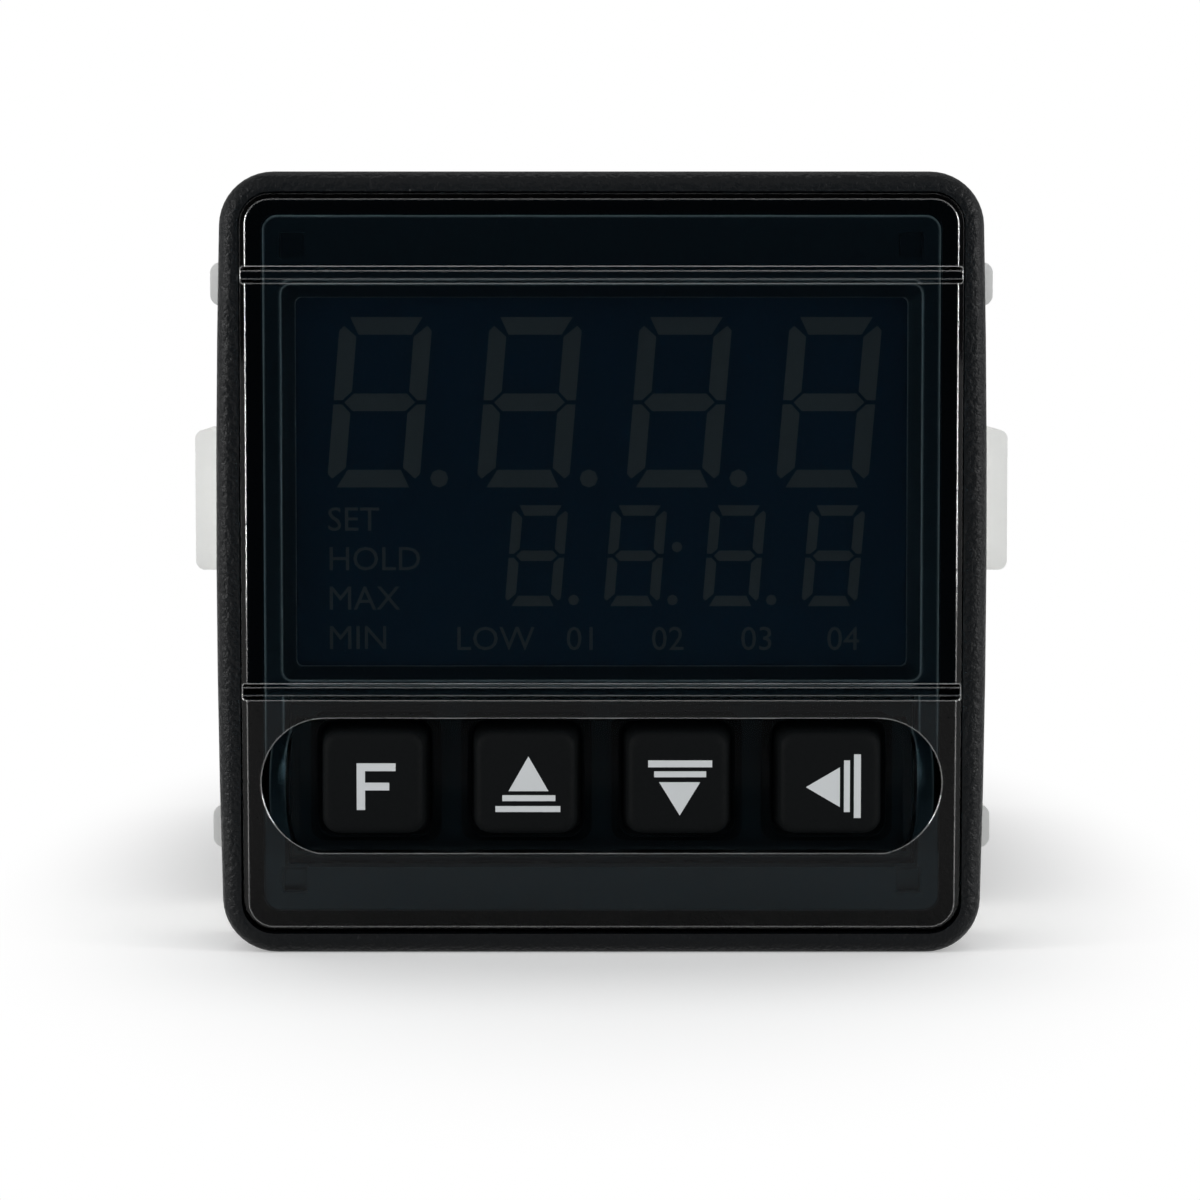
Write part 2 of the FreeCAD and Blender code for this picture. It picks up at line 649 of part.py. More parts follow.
def flat_ended(sketch, length, height, sag, up):
    """Like the stadium, with shallow arcs at the ends. Same order of edges."""
    half, rise, dip = size(length) / 2, size(height) / 2, size(sag)
    radius = f"((({height}) / 2) ^ 2 + {sag} ^ 2) / (2 * {sag})"
    big, level = size(radius), size(up)
    lean = math.degrees(math.asin(rise / big))
    right = arc(Vector(half - big, level, 0), big, -lean, lean)
    left = arc(Vector(big - half, level, 0), big, 180 - lean, 180 + lean)
    sketch.addGeometry(right)
    sketch.addGeometry(left)
    sketch.addGeometry(Part.LineSegment(right.EndPoint, left.StartPoint))
    sketch.addGeometry(Part.LineSegment(left.EndPoint, right.StartPoint))
    for join in ((0, 2, 2, 1), (2, 2, 1, 1), (1, 2, 3, 1), (3, 2, 0, 1)):
        sketch.addConstraint(Sketcher.Constraint("Coincident", *join))
    across = f"{length} / 2 - {sag}"
    hold(sketch, 2, 1, across, f"{up} + {height} / 2")
    hold(sketch, 2, 2, f"-({across})", f"{up} + {height} / 2")
    hold(sketch, 3, 1, f"-({across})", f"{up} - {height} / 2")
    hold(sketch, 3, 2, across, f"{up} - {height} / 2")
    for index in (0, 1):
        bound(sketch, Sketcher.Constraint("Radius", index, big), radius)


flat_ended(floor_line, RECESS_FLOOR_LENGTH, "Sizes.recess_height", "Sizes.recess_end_sag", RECESS_Z)
loft(front_panel, "SubtractiveLoft", mouth, floor_line)

trough = new_sketch(front_panel, "Trough", "YZ", "0")
trough_radius = "((Sizes.recess_height / 2) ^ 2 + Sizes.trough_depth ^ 2) / (2 * Sizes.trough_depth)"
trough_y = f"(-{RECESS_FLOOR} + Sizes.trough_depth - {trough_radius})"
lean = math.degrees(math.asin(size("Sizes.recess_height") / 2 / size(trough_radius)))
bowl = arc(Vector(size(trough_y), size(RECESS_Z), 0), size(trough_radius), -lean, lean)
trough.addGeometry(bowl)
trough.addGeometry(Part.LineSegment(bowl.EndPoint, bowl.StartPoint))
for join in ((0, 2, 1, 1), (1, 2, 0, 1)):
    trough.addConstraint(Sketcher.Constraint("Coincident", *join))
hold(trough, 1, 1, f"-{RECESS_FLOOR}", f"{RECESS_Z} + Sizes.recess_height / 2")
hold(trough, 1, 2, f"-{RECESS_FLOOR}", f"{RECESS_Z} - Sizes.recess_height / 2")
bound(trough, Sketcher.Constraint("Radius", 0, size(trough_radius)), trough_radius)
pocket(front_panel, trough, f"{RECESS_FLOOR_LENGTH} - 2 * Sizes.trough_end", across=True)

holes = face_sketch(front_panel, "KeyHoles", PANEL_FRONT)
hole_width = f"({KEY_WIDTH} + 2 * (Sizes.key_draft + Sizes.key_clearance))"
hole_height = "(Sizes.key_height + 2 * (Sizes.key_draft + Sizes.key_clearance))"
rounded_rectangle(holes, hole_width, hole_height, "(Sizes.key_corner + Sizes.key_clearance)", KEY_X[0], KEY_Z)
hole_cut = pocket_through(front_panel, holes)
pattern(front_panel, hole_cut, "H_Axis", f"3 * {KEY_PITCH}", "4")

posts = face_sketch(front_panel, "Posts", f"{PANEL_BACK} - Sizes.post_length")
for across, up in POST_PLACES:
    rectangle(posts, "Sizes.post_width", "Sizes.post_width", across, up)
pad(front_panel, posts, "Sizes.post_length + 0.2")

# Keys, plungers, switches
key_bodies, plungers, housings = [], [], []
for name, across in zip(("function", "up", "down", "back"), KEY_X):
    key = new_body(f"key_{name}")
    base_width = f"({KEY_WIDTH} + 2 * Sizes.key_draft)"
    base_height = "(Sizes.key_height + 2 * Sizes.key_draft)"
    foot = face_sketch(key, "Foot", KEY_SHOULDER)
    rounded_rectangle(foot, base_width, base_height, "Sizes.key_corner", across, KEY_Z)
    crown = face_sketch(key, "Crown", KEY_FACE)
    rounded_rectangle(crown, KEY_WIDTH, "Sizes.key_height", "Sizes.key_corner", across, KEY_Z)
    loft(key, "AdditiveLoft", foot, crown)
    dress(key, "Chamfer", "Edge", lambda e: far_front(e, size(KEY_FACE)), "Sizes.key_edge")
    flange = face_sketch(key, "Flange", KEY_BOTTOM)
    flange_width = f"({base_width} + 2 * Sizes.key_flange)"
    flange_height = f"({base_height} + 2 * Sizes.key_flange)"
    rectangle(flange, flange_width, flange_height, across, KEY_Z)
    pad(key, flange, "Sizes.key_flange_thickness")
    key_bodies.append(key)

    end = (across, f"-{KEY_BOTTOM}", KEY_Z)
    back = Vector(0, 1, 0)
    plungers.append(rod(f"plunger_{name}", "Sizes.plunger_radius", "Sizes.plunger_length", end, back, 16))

    width = "Sizes.switch_width"
    corner = (f"{across} - {width} / 2", f"-{SWITCH_TOP}", f"{KEY_Z} - {width} / 2")
    shell = block(f"switch_shell_{name}", (width, "Sizes.switch_body", width), corner)
    bore_radius = f"(Sizes.plunger_radius + Sizes.plunger_clearance) / {math.cos(math.pi / 16):.6f}"
    bore_end = (across, f"-{SWITCH_TOP}", KEY_Z)
    bore = rod(f"switch_bore_{name}", bore_radius, "(Sizes.switch_body - 1)", bore_end, back, 16)
    housings.append(cut(f"switch_{name}", shell, bore))
switch_bodies = group("switch_bodies", housings)

# Display
display_frame = new_body("display_frame")
rim = face_sketch(display_frame, "Outer", BOARD_FRONT)
rectangle(rim, FRAME_WIDTH, FRAME_HEIGHT)
pad(display_frame, rim, f"{FRAME_FRONT} - {BOARD_FRONT}")
flange = face_sketch(display_frame, "Flange", LEDGE)
flange_width, flange_height = (f"({side} - 2 * Sizes.frame_gap)" for side in (hollow_width, hollow_height))
rounded_rectangle(flange, flange_width, flange_height, "(Sizes.panel_corner / 2)")
pad(display_frame, flange, f"{FRAME_FRONT} - {LEDGE}")
bay = face_sketch(display_frame, "KeyBay", FRAME_FRONT)
bay_width = f"({PAN_WIDTH} + 2 * Sizes.frame_bay)"
bay_height = "(Sizes.recess_height + 2 * (Sizes.recess_wall + Sizes.frame_bay))"
rectangle(bay, bay_width, bay_height, "0", RECESS_Z)
pocket_through(display_frame, bay)
sockets = face_sketch(display_frame, "PostHoles", FRAME_FRONT)
for across, up in POST_PLACES:
    width = "(Sizes.post_width + 2 * Sizes.post_clearance)"
    rectangle(sockets, width, width, across, up)
pocket(display_frame, sockets, "Sizes.post_length + Sizes.post_clearance")
bed = face_sketch(display_frame, "Bed", BOARD_FRONT)
bed_width, bed_height = (f"({side} + 2 * Sizes.lcd_fit)" for side in (LCD_WIDTH, LCD_HEIGHT))
rectangle(bed, bed_width, bed_height, "0", DISPLAY_Z)
pocket(display_frame, bed, f"{LCD_FRONT} - {BOARD_FRONT}", forward=True)
view = face_sketch(display_frame, "View", LCD_FRONT)
rounded_rectangle(view, VIEW_WIDTH, VIEW_HEIGHT, "0.4", "0", DISPLAY_Z)
pocket_through(display_frame, view)
throat = face_sketch(display_frame, "Throat", f"{LCD_FRONT} + Sizes.frame_lip")
rounded_rectangle(throat, VIEW_WIDTH, VIEW_HEIGHT, "0.4", "0", DISPLAY_Z)
flare = face_sketch(display_frame, "Flare", FRAME_FRONT)
flare_width, flare_height = (f"({side} + 2 * Sizes.frame_flare)" for side in (VIEW_WIDTH, VIEW_HEIGHT))
rounded_rectangle(flare, flare_width, flare_height, "0.6", "0", DISPLAY_Z)
loft(display_frame, "SubtractiveLoft", throat, flare)


def flat_piece(name, width, height, thickness, back, across="0", up=DISPLAY_Z):
    """A flat block parallel to the face, its back at a height in front of the panel."""
    lengths = (width, thickness, height)
    corner = (f"{across} - {width} / 2", f"-({back}) - {thickness}", f"{up} - {height} / 2")
    return block(name, lengths, corner)


lcd_glass = flat_piece("lcd_glass", LCD_WIDTH, LCD_HEIGHT, "Sizes.lcd_thickness", LCD_BACK)
guide_width = f"({LCD_WIDTH} - 2 * (Sizes.led_width + 0.2))"
guide_height = f"({LCD_HEIGHT} - 2 * (Sizes.strip_width + 0.2))"
light_guide = flat_piece("light_guide", guide_width, guide_height, "Sizes.guide_thickness", BOARD_FRONT)
strips = []
for name, sign in (("upper", "+"), ("lower", "-")):
    up = f"{DISPLAY_Z} {sign} ({LCD_HEIGHT} - Sizes.strip_width) / 2"
    size_of = ("Sizes.strip_width", "Sizes.guide_thickness", BOARD_FRONT)
    strips.append(flat_piece(f"contact_strip_{name}", guide_width, *size_of, "0", up))
leds = []
for name, sign in (("left", "-"), ("right", "")):
    place = f"{sign}({LCD_WIDTH} - Sizes.led_width) / 2"
    size_of = ("Sizes.led_width", "Sizes.led_height", "Sizes.led_rise")
    leds.append(flat_piece(f"led_{name}", *size_of, BOARD_FRONT, place))
backlight_leds = group("backlight_leds", leds)
board_width, board_height = (f"({side} - 2 * Sizes.board_fit)" for side in (CAVITY_WIDTH, CAVITY_HEIGHT))
size_of = (board_width, board_height, "Sizes.board_thickness")
display_board = flat_piece("display_board", *size_of, BOARD_BACK, up="0")


def segment_outlines(width, tall, stroke, gap):
    """The seven strokes of a digit with mitred ends, upright, from its lower left corner."""
    cap, mid, half = stroke * 0.45, tall / 2, stroke / 2
    inner = width - stroke
    top = [(cap + gap, tall), (width - cap - gap, tall),
           (inner - gap, tall - stroke), (stroke + gap, tall - stroke)]
    bar = [(half + gap, mid), (stroke + gap, mid + half), (inner - gap, mid + half),
           (width - half - gap, mid), (inner - gap, mid - half), (stroke + gap, mid - half)]
    post = [(0, mid + gap), (half, mid + gap), (stroke, mid + half + gap),
            (stroke, tall - stroke - gap), (cap * 0.6, tall - cap - gap * 0.4), (0, tall - cap * 1.7)]
    right = [(width - x, z) for x, z in post]
    flipped = [[(x, tall - z) for x, z in outline] for outline in (top, post, right)]
    return [top, bar, post, right, *flipped]


def prism(points):
    wire = Part.makePolygon([*points, points[0]])
    return Part.Face(wire).extrude(Vector(0, -size("Sizes.segment_thickness"), 0))


# The rows of digits share the view's height, less its margins and the band for the legends
ROWS = f"({VIEW_HEIGHT} - Sizes.digit_margin - Sizes.row_gap - Sizes.legend_band)"
SLOPE = "tan(Sizes.digit_slant * 1 deg)"
LARGE, SMALL = f"({ROWS} * 0.627)", f"({ROWS} * 0.373)"
LARGE_TOP = f"({DISPLAY_Z} + {VIEW_HEIGHT} / 2 - Sizes.digit_margin)"
SMALL_TOP = f"({LARGE_TOP} - {LARGE} - Sizes.row_gap)"
LARGE_PITCH = f"(({VIEW_WIDTH} - Sizes.digit_left - Sizes.digit_right - {LARGE} * {SLOPE}) / 3.617)"
SMALL_PITCH = f"({LARGE_PITCH} * 0.662)"


def digit_row(tall, width, stroke, pitch, top, margin, dots):
    """Four slanted digits, the last one short of the view's edge by the margin, with points between."""
    slope, front = size(SLOPE), -size(LCD_FRONT)
    last = size(VIEW_WIDTH) / 2 - margin - tall * slope - width
    made = []
    for place in range(4):
        left = last - (3 - place) * pitch
        for outline in segment_outlines(width, tall, stroke, size("Sizes.segment_gap")):
            made.append(prism([Vector(left + x + z * slope, front, top - tall + z) for x, z in outline]))
        for level in dots[place]:
            rise = level * tall
            centre = Vector(left + width + pitch * 0.13 + rise * slope, front, top - tall + rise)
            turns = [math.pi * i / 4 for i in range(8)]
            made.append(prism([centre + Vector(math.cos(a), 0, math.sin(a)) * stroke * 0.52 for a in turns]))
    return made


pitch = size(LARGE_PITCH)
segments = digit_row(size(LARGE), pitch * 0.617, pitch * 0.1175, pitch, size(LARGE_TOP),
                     size("Sizes.digit_right"), [[0.053], [0.053], [0.053], []])
pitch = size(SMALL_PITCH)
segments += digit_row(size(SMALL), pitch * 0.563, pitch * 0.105, pitch, size(SMALL_TOP),
                      size("Sizes.small_right"), [[0.061], [0.061, 0.587], [0.061], []])
display_segments = doc.addObject("Part::Feature", "display_segments")
display_segments.Label = "display_segments"
display_segments.Shape = Part.makeCompound(segments)

# Mounting clamp
mounting_clamp = new_body("mounting_clamp")
CLAMP_REAR = "(Sizes.clamp_gap + Sizes.clamp_depth)"
INNER_WIDTH = f"({SLEEVE_WIDTH} + 2 * Sizes.clamp_clearance)"
INNER_HEIGHT = f"({SLEEVE_HEIGHT} + 2 * Sizes.clamp_clearance)"
OUTER_HALF = f"({INNER_WIDTH} / 2 + Sizes.clamp_side)"
hoop = face_sketch(mounting_clamp, "Hoop", f"-{CLAMP_REAR}")
outer_height = f"({INNER_HEIGHT} + 2 * Sizes.clamp_flat)"
rounded_rectangle(hoop, f"(2 * {OUTER_HALF})", outer_height, "Sizes.clamp_corner")
rounded_rectangle(hoop, INNER_WIDTH, INNER_HEIGHT, "Sizes.sleeve_corner")
pad(mounting_clamp, hoop, "Sizes.clamp_depth")
lugs = face_sketch(mounting_clamp, "Lugs", f"-{CLAMP_REAR}")
for side in ("-", ""):
    for level in ("-", ""):
        reach = "(Sizes.lug_reach + Sizes.clamp_side * 0.8)"
        across = f"{side}({OUTER_HALF} + Sizes.lug_reach - {reach} / 2)"
        rounded_rectangle(lugs, reach, "Sizes.lug_height", "0.7", across, f"{level}Sizes.lug_rise")
pad(mounting_clamp, lugs, "Sizes.clamp_depth")
tabs = face_sketch(mounting_clamp, "Tabs", f"-{CLAMP_REAR}")
for side in ("-", ""):
    reach = "(Sizes.tab_reach + Sizes.clamp_side * 0.5)"
    across = f"{side}({OUTER_HALF} + Sizes.tab_reach - {reach} / 2)"
    rounded_rectangle(tabs, reach, "Sizes.tab_height", "Sizes.tab_round", across, "Sizes.rack_rise")
pad(mounting_clamp, tabs, "Sizes.tab_depth")
slits = face_sketch(mounting_clamp, "Slits", f"-{CLAMP_REAR}")
for side in ("-", ""):
    for level in ("-", ""):
        up = f"Sizes.rack_rise + {level}(Sizes.tab_height + Sizes.slit_width) / 2"
        across = f"{side}{INNER_WIDTH} / 2 {'-' if side else '+'} Sizes.clamp_side / 2"
        rectangle(slits, "(Sizes.clamp_side + 0.4)", "Sizes.slit_width", across, up)
pocket(mounting_clamp, slits, "Sizes.slit_depth", forward=True)
relief = face_sketch(mounting_clamp, "Relief", f"-{CLAMP_REAR}")
for side in ("-", ""):
    across = f"{side}({INNER_WIDTH} / 2 + Sizes.pawl_relief / 2 - 0.1)"
    rectangle(relief, "(Sizes.pawl_relief + 0.2)", "Sizes.tab_height", across, "Sizes.rack_rise")
pocket(mounting_clamp, relief, "Sizes.slit_depth - 1", forward=True)
pawl = new_sketch(mounting_clamp, "Pawl", "XY", "Sizes.rack_rise")
for side in ("", "-"):
    root = f"({INNER_WIDTH} / 2 + Sizes.pawl_relief)"
    tip = f"({root} - Sizes.pawl_tooth)"
    first = f"({CLAMP_REAR} - Sizes.rack_pitch)"
    polygon(pawl, [
        (f"{side}({root} + 0.2)", first),
        (f"{side}{root}", first),
        (f"{side}{tip}", f"{first} + Sizes.rack_pitch * 0.7"),
        (f"{side}({root} + 0.2)", f"{first} + Sizes.rack_pitch * 0.7"),
    ])
pawl_pad = pad(mounting_clamp, pawl, "Sizes.rack_height - 1", across=True)
run = "(Sizes.pawl_count - 1) * Sizes.rack_pitch"
pattern(mounting_clamp, pawl_pad, "V_Axis", run, "Sizes.pawl_count", reverse=True)

# Rear cover
rear_cover = new_body("rear_cover")
cover_plate = face_sketch(rear_cover, "Plate", "-Sizes.sleeve_length")
cover_width, cover_height = (f"({side} - 2 * Sizes.cover_fit)" for side in (CAVITY_WIDTH, CAVITY_HEIGHT))
rectangle(cover_plate, cover_width, cover_height)
pad(rear_cover, cover_plate, "Sizes.cover_thickness")
legs = face_sketch(rear_cover, "Legs", f"-{COVER_FRONT} - 0.2")
for level in ("-", ""):
    up = f"{level}({cover_height} - Sizes.leg_thickness) / 2"
    rectangle(legs, "Sizes.leg_width", "Sizes.leg_thickness", "0", up)
pad(rear_cover, legs, "Sizes.leg_length + 0.2")
snaps = new_sketch(rear_cover, "Snaps", "YZ", "0")
for level in ("", "-"):
    base = f"({cover_height} / 2)"
    near = f"({SNAP_DEPTH} - Sizes.snap_length / 2)"
    polygon(snaps, [
        (near, f"{level}({base} - 0.3)"),
        (near, f"{level}{base}"),
        (f"{near} + Sizes.snap_length * 0.7", f"{level}({base} + Sizes.snap_rise)"),
        (f"{near} + Sizes.snap_length", f"{level}({base} + Sizes.snap_rise)"),
        (f"{near} + Sizes.snap_length", f"{level}({base} - 0.3)"),
    ])
pad(rear_cover, snaps, "Sizes.leg_width", across=True)
mouths = face_sketch(rear_cover, "BlockMouths", "-Sizes.sleeve_length")
for side in ("-", ""):
    width, height = "(Sizes.block_width + 2 * Sizes.cover_fit)", f"({BLOCK_HEIGHT} + 2 * Sizes.cover_fit)"
    rectangle(mouths, width, height, f"{side}{BLOCK_X}")
pocket_through(rear_cover, mouths)
grille = face_sketch(rear_cover, "Grille", "-Sizes.sleeve_length")
rectangle(grille, "Sizes.cover_vent", "Sizes.vent_width", "0", "-2.5 * Sizes.vent_pitch")
grille_cut = pocket_through(rear_cover, grille)
pattern(rear_cover, grille_cut, "V_Axis", "5 * Sizes.vent_pitch", "6")

# Boards, headers, terminal blocks with their screws and wire clamps
side_boards, headers, blocks, screws, cages = [], [], [], [], []
for name, header_name, hand in (("main_board", "left", -1), ("power_board", "right", 1)):
    face = f"({hand} * {BOARD_FACE})"

    def outward(width):
        """Least x of a piece of this width that stands on the board's inner face."""
        return f"{face}" if hand < 0 else f"{face} - {width}"

    length = f"({COVER_FRONT} + {BOARD_BACK} - 2 * Sizes.board_gap)"
    corner = (face if hand > 0 else f"{face} - Sizes.board_thickness", f"Sizes.board_gap - {BOARD_BACK}",
              f"-{board_height} / 2")
    side_boards.append(block(name, ("Sizes.board_thickness", length, board_height), corner))

    lengths = ("Sizes.header_width", "Sizes.header_width", "Sizes.header_length")
    corner = (outward("Sizes.header_width"), f"-{BOARD_BACK}", "-Sizes.header_length / 2")
    headers.append(block(f"pin_header_{header_name}", lengths, corner))

    terminal = new_body(f"terminal_block_{header_name}")
    middle = f"({hand} * {BLOCK_X})"
    moulding = face_sketch(terminal, "Moulding", f"-{BLOCK_REAR}")
    rectangle(moulding, "Sizes.block_width", BLOCK_HEIGHT, middle)
    pad(terminal, moulding, "Sizes.block_depth")
    lowest = f"(-{BLOCK_HEIGHT} / 2 + Sizes.block_end + {BLOCK_PITCH} / 2)"
    outer, inner = f"({middle} + {hand} * Sizes.screw_offset)", f"({middle} - {hand} * Sizes.screw_offset)"
    cuts = []
    well = face_sketch(terminal, "Well", f"-{BLOCK_REAR}")
    many_sided(well, "Sizes.well_radius", 12, outer, lowest)
    cuts.append(pocket(terminal, well, "Sizes.well_depth", forward=True))
    pattern(terminal, cuts[-1], "V_Axis", f"{TERMINALS - 1} * {BLOCK_PITCH}", str(TERMINALS))
    thread = face_sketch(terminal, "Thread", f"-{BLOCK_REAR}")
    many_sided(thread, "(Sizes.screw_shank + Sizes.screw_clearance)", 8, outer, lowest)
    deep = "Sizes.well_depth + Sizes.screw_length - Sizes.screw_head_depth + 0.5"
    cuts.append(pocket(terminal, thread, deep, forward=True))
    pattern(terminal, cuts[-1], "V_Axis", f"{TERMINALS - 1} * {BLOCK_PITCH}", str(TERMINALS))
    entry = face_sketch(terminal, "Entry", f"-{BLOCK_REAR}")
    rectangle(entry, "Sizes.entry_width", "Sizes.entry_height", inner, lowest)
    cuts.append(pocket(terminal, entry, "Sizes.entry_depth", forward=True))
    pattern(terminal, cuts[-1], "V_Axis", f"{TERMINALS - 1} * {BLOCK_PITCH}", str(TERMINALS))
    blocks.append(terminal)

    for place in range(TERMINALS):
        tag = f"{header_name}_{place + 1}"
        level = f"({lowest} + {place} * {BLOCK_PITCH})"
        seat_depth = f"({BLOCK_REAR} - Sizes.well_depth)"
        back = Vector(0, 1, 0)
        seat = (outer, seat_depth, level)
        head = rod(f"screw_head_{tag}", "Sizes.screw_head", "Sizes.screw_head_depth", seat, back, 12)
        end = (outer, f"{seat_depth} - Sizes.screw_length + Sizes.screw_head_depth", level)
        shank_length = "Sizes.screw_length - Sizes.screw_head_depth + 0.3"
        shank = rod(f"screw_shank_{tag}", "Sizes.screw_shank", shank_length, end, back, 6)
        whole = fuse(f"screw_blank_{tag}", [head, shank])
        slot_corner = (f"{outer} - Sizes.screw_head - 0.1", f"{seat_depth} + Sizes.screw_head_depth - 0.7",
                       f"{level} - Sizes.screw_slot / 2")
        slot_size = ("2 * Sizes.screw_head + 0.2", "1.0", "Sizes.screw_slot")
        screws.append(cut(f"screw_{tag}", whole, block(f"screw_slot_{tag}", slot_size, slot_corner)))

        wide, tall = (f"(Sizes.entry_{s} - 2 * Sizes.cage_fit)" for s in ("width", "height"))
        near = f"({BLOCK_REAR} - Sizes.entry_depth)"
        corner = (f"{inner} - {wide} / 2", near, f"{level} - {tall} / 2")
        shell = block(f"cage_shell_{tag}", (wide, "Sizes.cage_length", tall), corner)
        slim = (f"{wide} - 2 * Sizes.cage_wall", "Sizes.cage_length + 1", f"{tall} - 2 * Sizes.cage_wall")
        corner = (f"{inner} - {wide} / 2 + Sizes.cage_wall", f"{near} + 0.8",
                  f"{level} - {tall} / 2 + Sizes.cage_wall")
        cages.append(cut(f"cage_{tag}", shell, block(f"cage_hole_{tag}", slim, corner)))
terminal_screws = group("terminal_screws", screws)
wire_clamps = group("wire_clamps", cages)
main_board, power_board = side_boards

# Components: relays and processor on the main board, supply parts on the power board
relays = []
relay_y = f"{BLOCK_FRONT} - Sizes.relay_gap - Sizes.relay_length"
for name, level in (("upper", "Sizes.relay_split"), ("lower", "-Sizes.relay_split - Sizes.relay_width")):
    lengths = ("Sizes.relay_rise", "Sizes.relay_length", "Sizes.relay_width")
    relays.append(block(f"relay_{name}", lengths, (f"-{BOARD_FACE}", relay_y, level)))
chip_size = ("Sizes.chip_rise", "Sizes.chip_width", "Sizes.chip_width")
processor = block("processor", chip_size, (f"-{BOARD_FACE}", "Sizes.chip_back", "-Sizes.chip_width / 2"))

core_middle = f"({BOARD_FACE} - Sizes.winding_depth - Sizes.core_depth / 2)"
core_y, core_z = "Sizes.core_back", "-Sizes.core_drop"
core_corner = (f"{core_middle} - Sizes.core_depth / 2", f"{core_y} - Sizes.core_length / 2",
               f"{core_z} - Sizes.core_width / 2")
core = block("core_block", ("Sizes.core_depth", "Sizes.core_length", "Sizes.core_width"), core_corner)
window_height = "((Sizes.core_width - Sizes.core_leg) / 2 - Sizes.core_side)"
window_length = "(Sizes.core_length - 2 * Sizes.core_yoke)"
for place, level in (("upper", f"{core_z} + Sizes.core_leg / 2"),
                     ("lower", f"{core_z} - Sizes.core_leg / 2 - {window_height}")):
    corner = (f"{core_middle} - Sizes.core_depth", f"{core_y} - {window_length} / 2", level)
    gap = block(f"core_window_{place}", ("2 * Sizes.core_depth", window_length, window_height), corner)
    core = cut(f"core_{place}", core, gap)
transformer_core = core
transformer_core.Label = "transformer_core"

coil_length = f"({window_length} - 2 * Sizes.winding_fit)"
coil_height = "(Sizes.core_leg + 2 * Sizes.winding_depth)"
coil_depth = "(Sizes.core_depth + 2 * Sizes.winding_depth)"
coil_corner = (f"{core_middle} - {coil_depth} / 2", f"{core_y} - {coil_length} / 2",
               f"{core_z} - {coil_height} / 2")
coil = block("coil_block", (coil_depth, coil_length, coil_height), coil_corner)
leg_hole = ("Sizes.core_depth + 2 * Sizes.winding_fit", f"{coil_length} + 2",
            "Sizes.core_leg + 2 * Sizes.winding_fit")
leg_corner = (f"{core_middle} - Sizes.core_depth / 2 - Sizes.winding_fit", f"{core_y} - {coil_length} / 2 - 1",
              f"{core_z} - Sizes.core_leg / 2 - Sizes.winding_fit")
transformer_coil = cut("transformer_coil", coil, block("coil_hole", leg_hole, leg_corner))

capacitor_y = f"{BLOCK_FRONT} - Sizes.capacitor_gap - Sizes.capacitor_radius"
capacitor_end = (BOARD_FACE, capacitor_y, "Sizes.capacitor_lift")
inward, up = Vector(-1, 0, 0), Vector(0, 0, 1)
capacitor = rod("capacitor", "Sizes.capacitor_radius", "Sizes.capacitor_length", capacitor_end, inward, 32)
varistor_x = f"{BOARD_FACE} - Sizes.varistor_radius - Sizes.varistor_stand"
varistor_y = f"{BLOCK_FRONT} - Sizes.varistor_gap - Sizes.varistor_radius"
varistor_end = (varistor_x, varistor_y, "-Sizes.varistor_drop")
varistor_body = rod("varistor_disc", "Sizes.varistor_radius", "Sizes.varistor_thickness", varistor_end, up, 32)
pins = []
for place, sign in (("front", "-"), ("rear", "+")):
    corner = (f"{BOARD_FACE} - Sizes.pin_length",
              f"{varistor_y} {sign} Sizes.pin_spread / 2 - Sizes.pin_width / 2",
              "-Sizes.varistor_drop + (Sizes.varistor_thickness - Sizes.pin_width) / 2")
    lengths = ("Sizes.pin_length", "Sizes.pin_width", "Sizes.pin_width")
    pins.append(block(f"varistor_pin_{place}", lengths, corner))
varistor = fuse("varistor", [varistor_body, *pins])

doc.recompute()
for item in doc.Objects:
    if "Invalid" in item.State or "Error" in item.State:
        raise RuntimeError(f"{item.Label}: {item.State}")
    if item.isDerivedFrom("PartDesign::Pocket") and item.Shape.Volume > item.BaseFeature.Shape.Volume - 0.01:
        raise RuntimeError(f"{item.Label} cuts nothing")

SUBPARTS = [
    case, panel_gasket, front_panel, *key_bodies, *plungers, switch_bodies, display_frame, lcd_glass,
    light_guide, *strips, backlight_leds, display_segments, display_board, mounting_clamp, rear_cover,
    main_board, power_board, *headers, *blocks, terminal_screws, wire_clamps, *relays, processor,
    transformer_core, transformer_coil, capacitor, varistor,
]
os.makedirs("parts", exist_ok=True)
for item in SUBPARTS:
    if item.Shape.isNull() or not item.Shape.isValid():
        raise RuntimeError(f"{item.Label} has no valid shape")
    item.Shape.exportStep(f"parts/{item.Label}.step")
    box = item.Shape.BoundBox
    print(f"{item.Label:24s} {len(item.Shape.Solids):3d} {item.Shape.Volume:10.1f} "
          f"x {box.XMin:.2f} {box.XMax:.2f} y {box.YMin:.2f} {box.YMax:.2f} z {box.ZMin:.2f} {box.ZMax:.2f}")
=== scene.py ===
# %% [markdown]
# A digital panel indicator, dressed for its picture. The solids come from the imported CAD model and
# stay exactly where they are. Blender adds what a solid can't hold: the grain of the mouldings, the
# smoked window, soft rubber keys with printed symbols, and plated screws at the back.

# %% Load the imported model
import json
import math

import bmesh
import bpy
from mathutils import Matrix, Vector


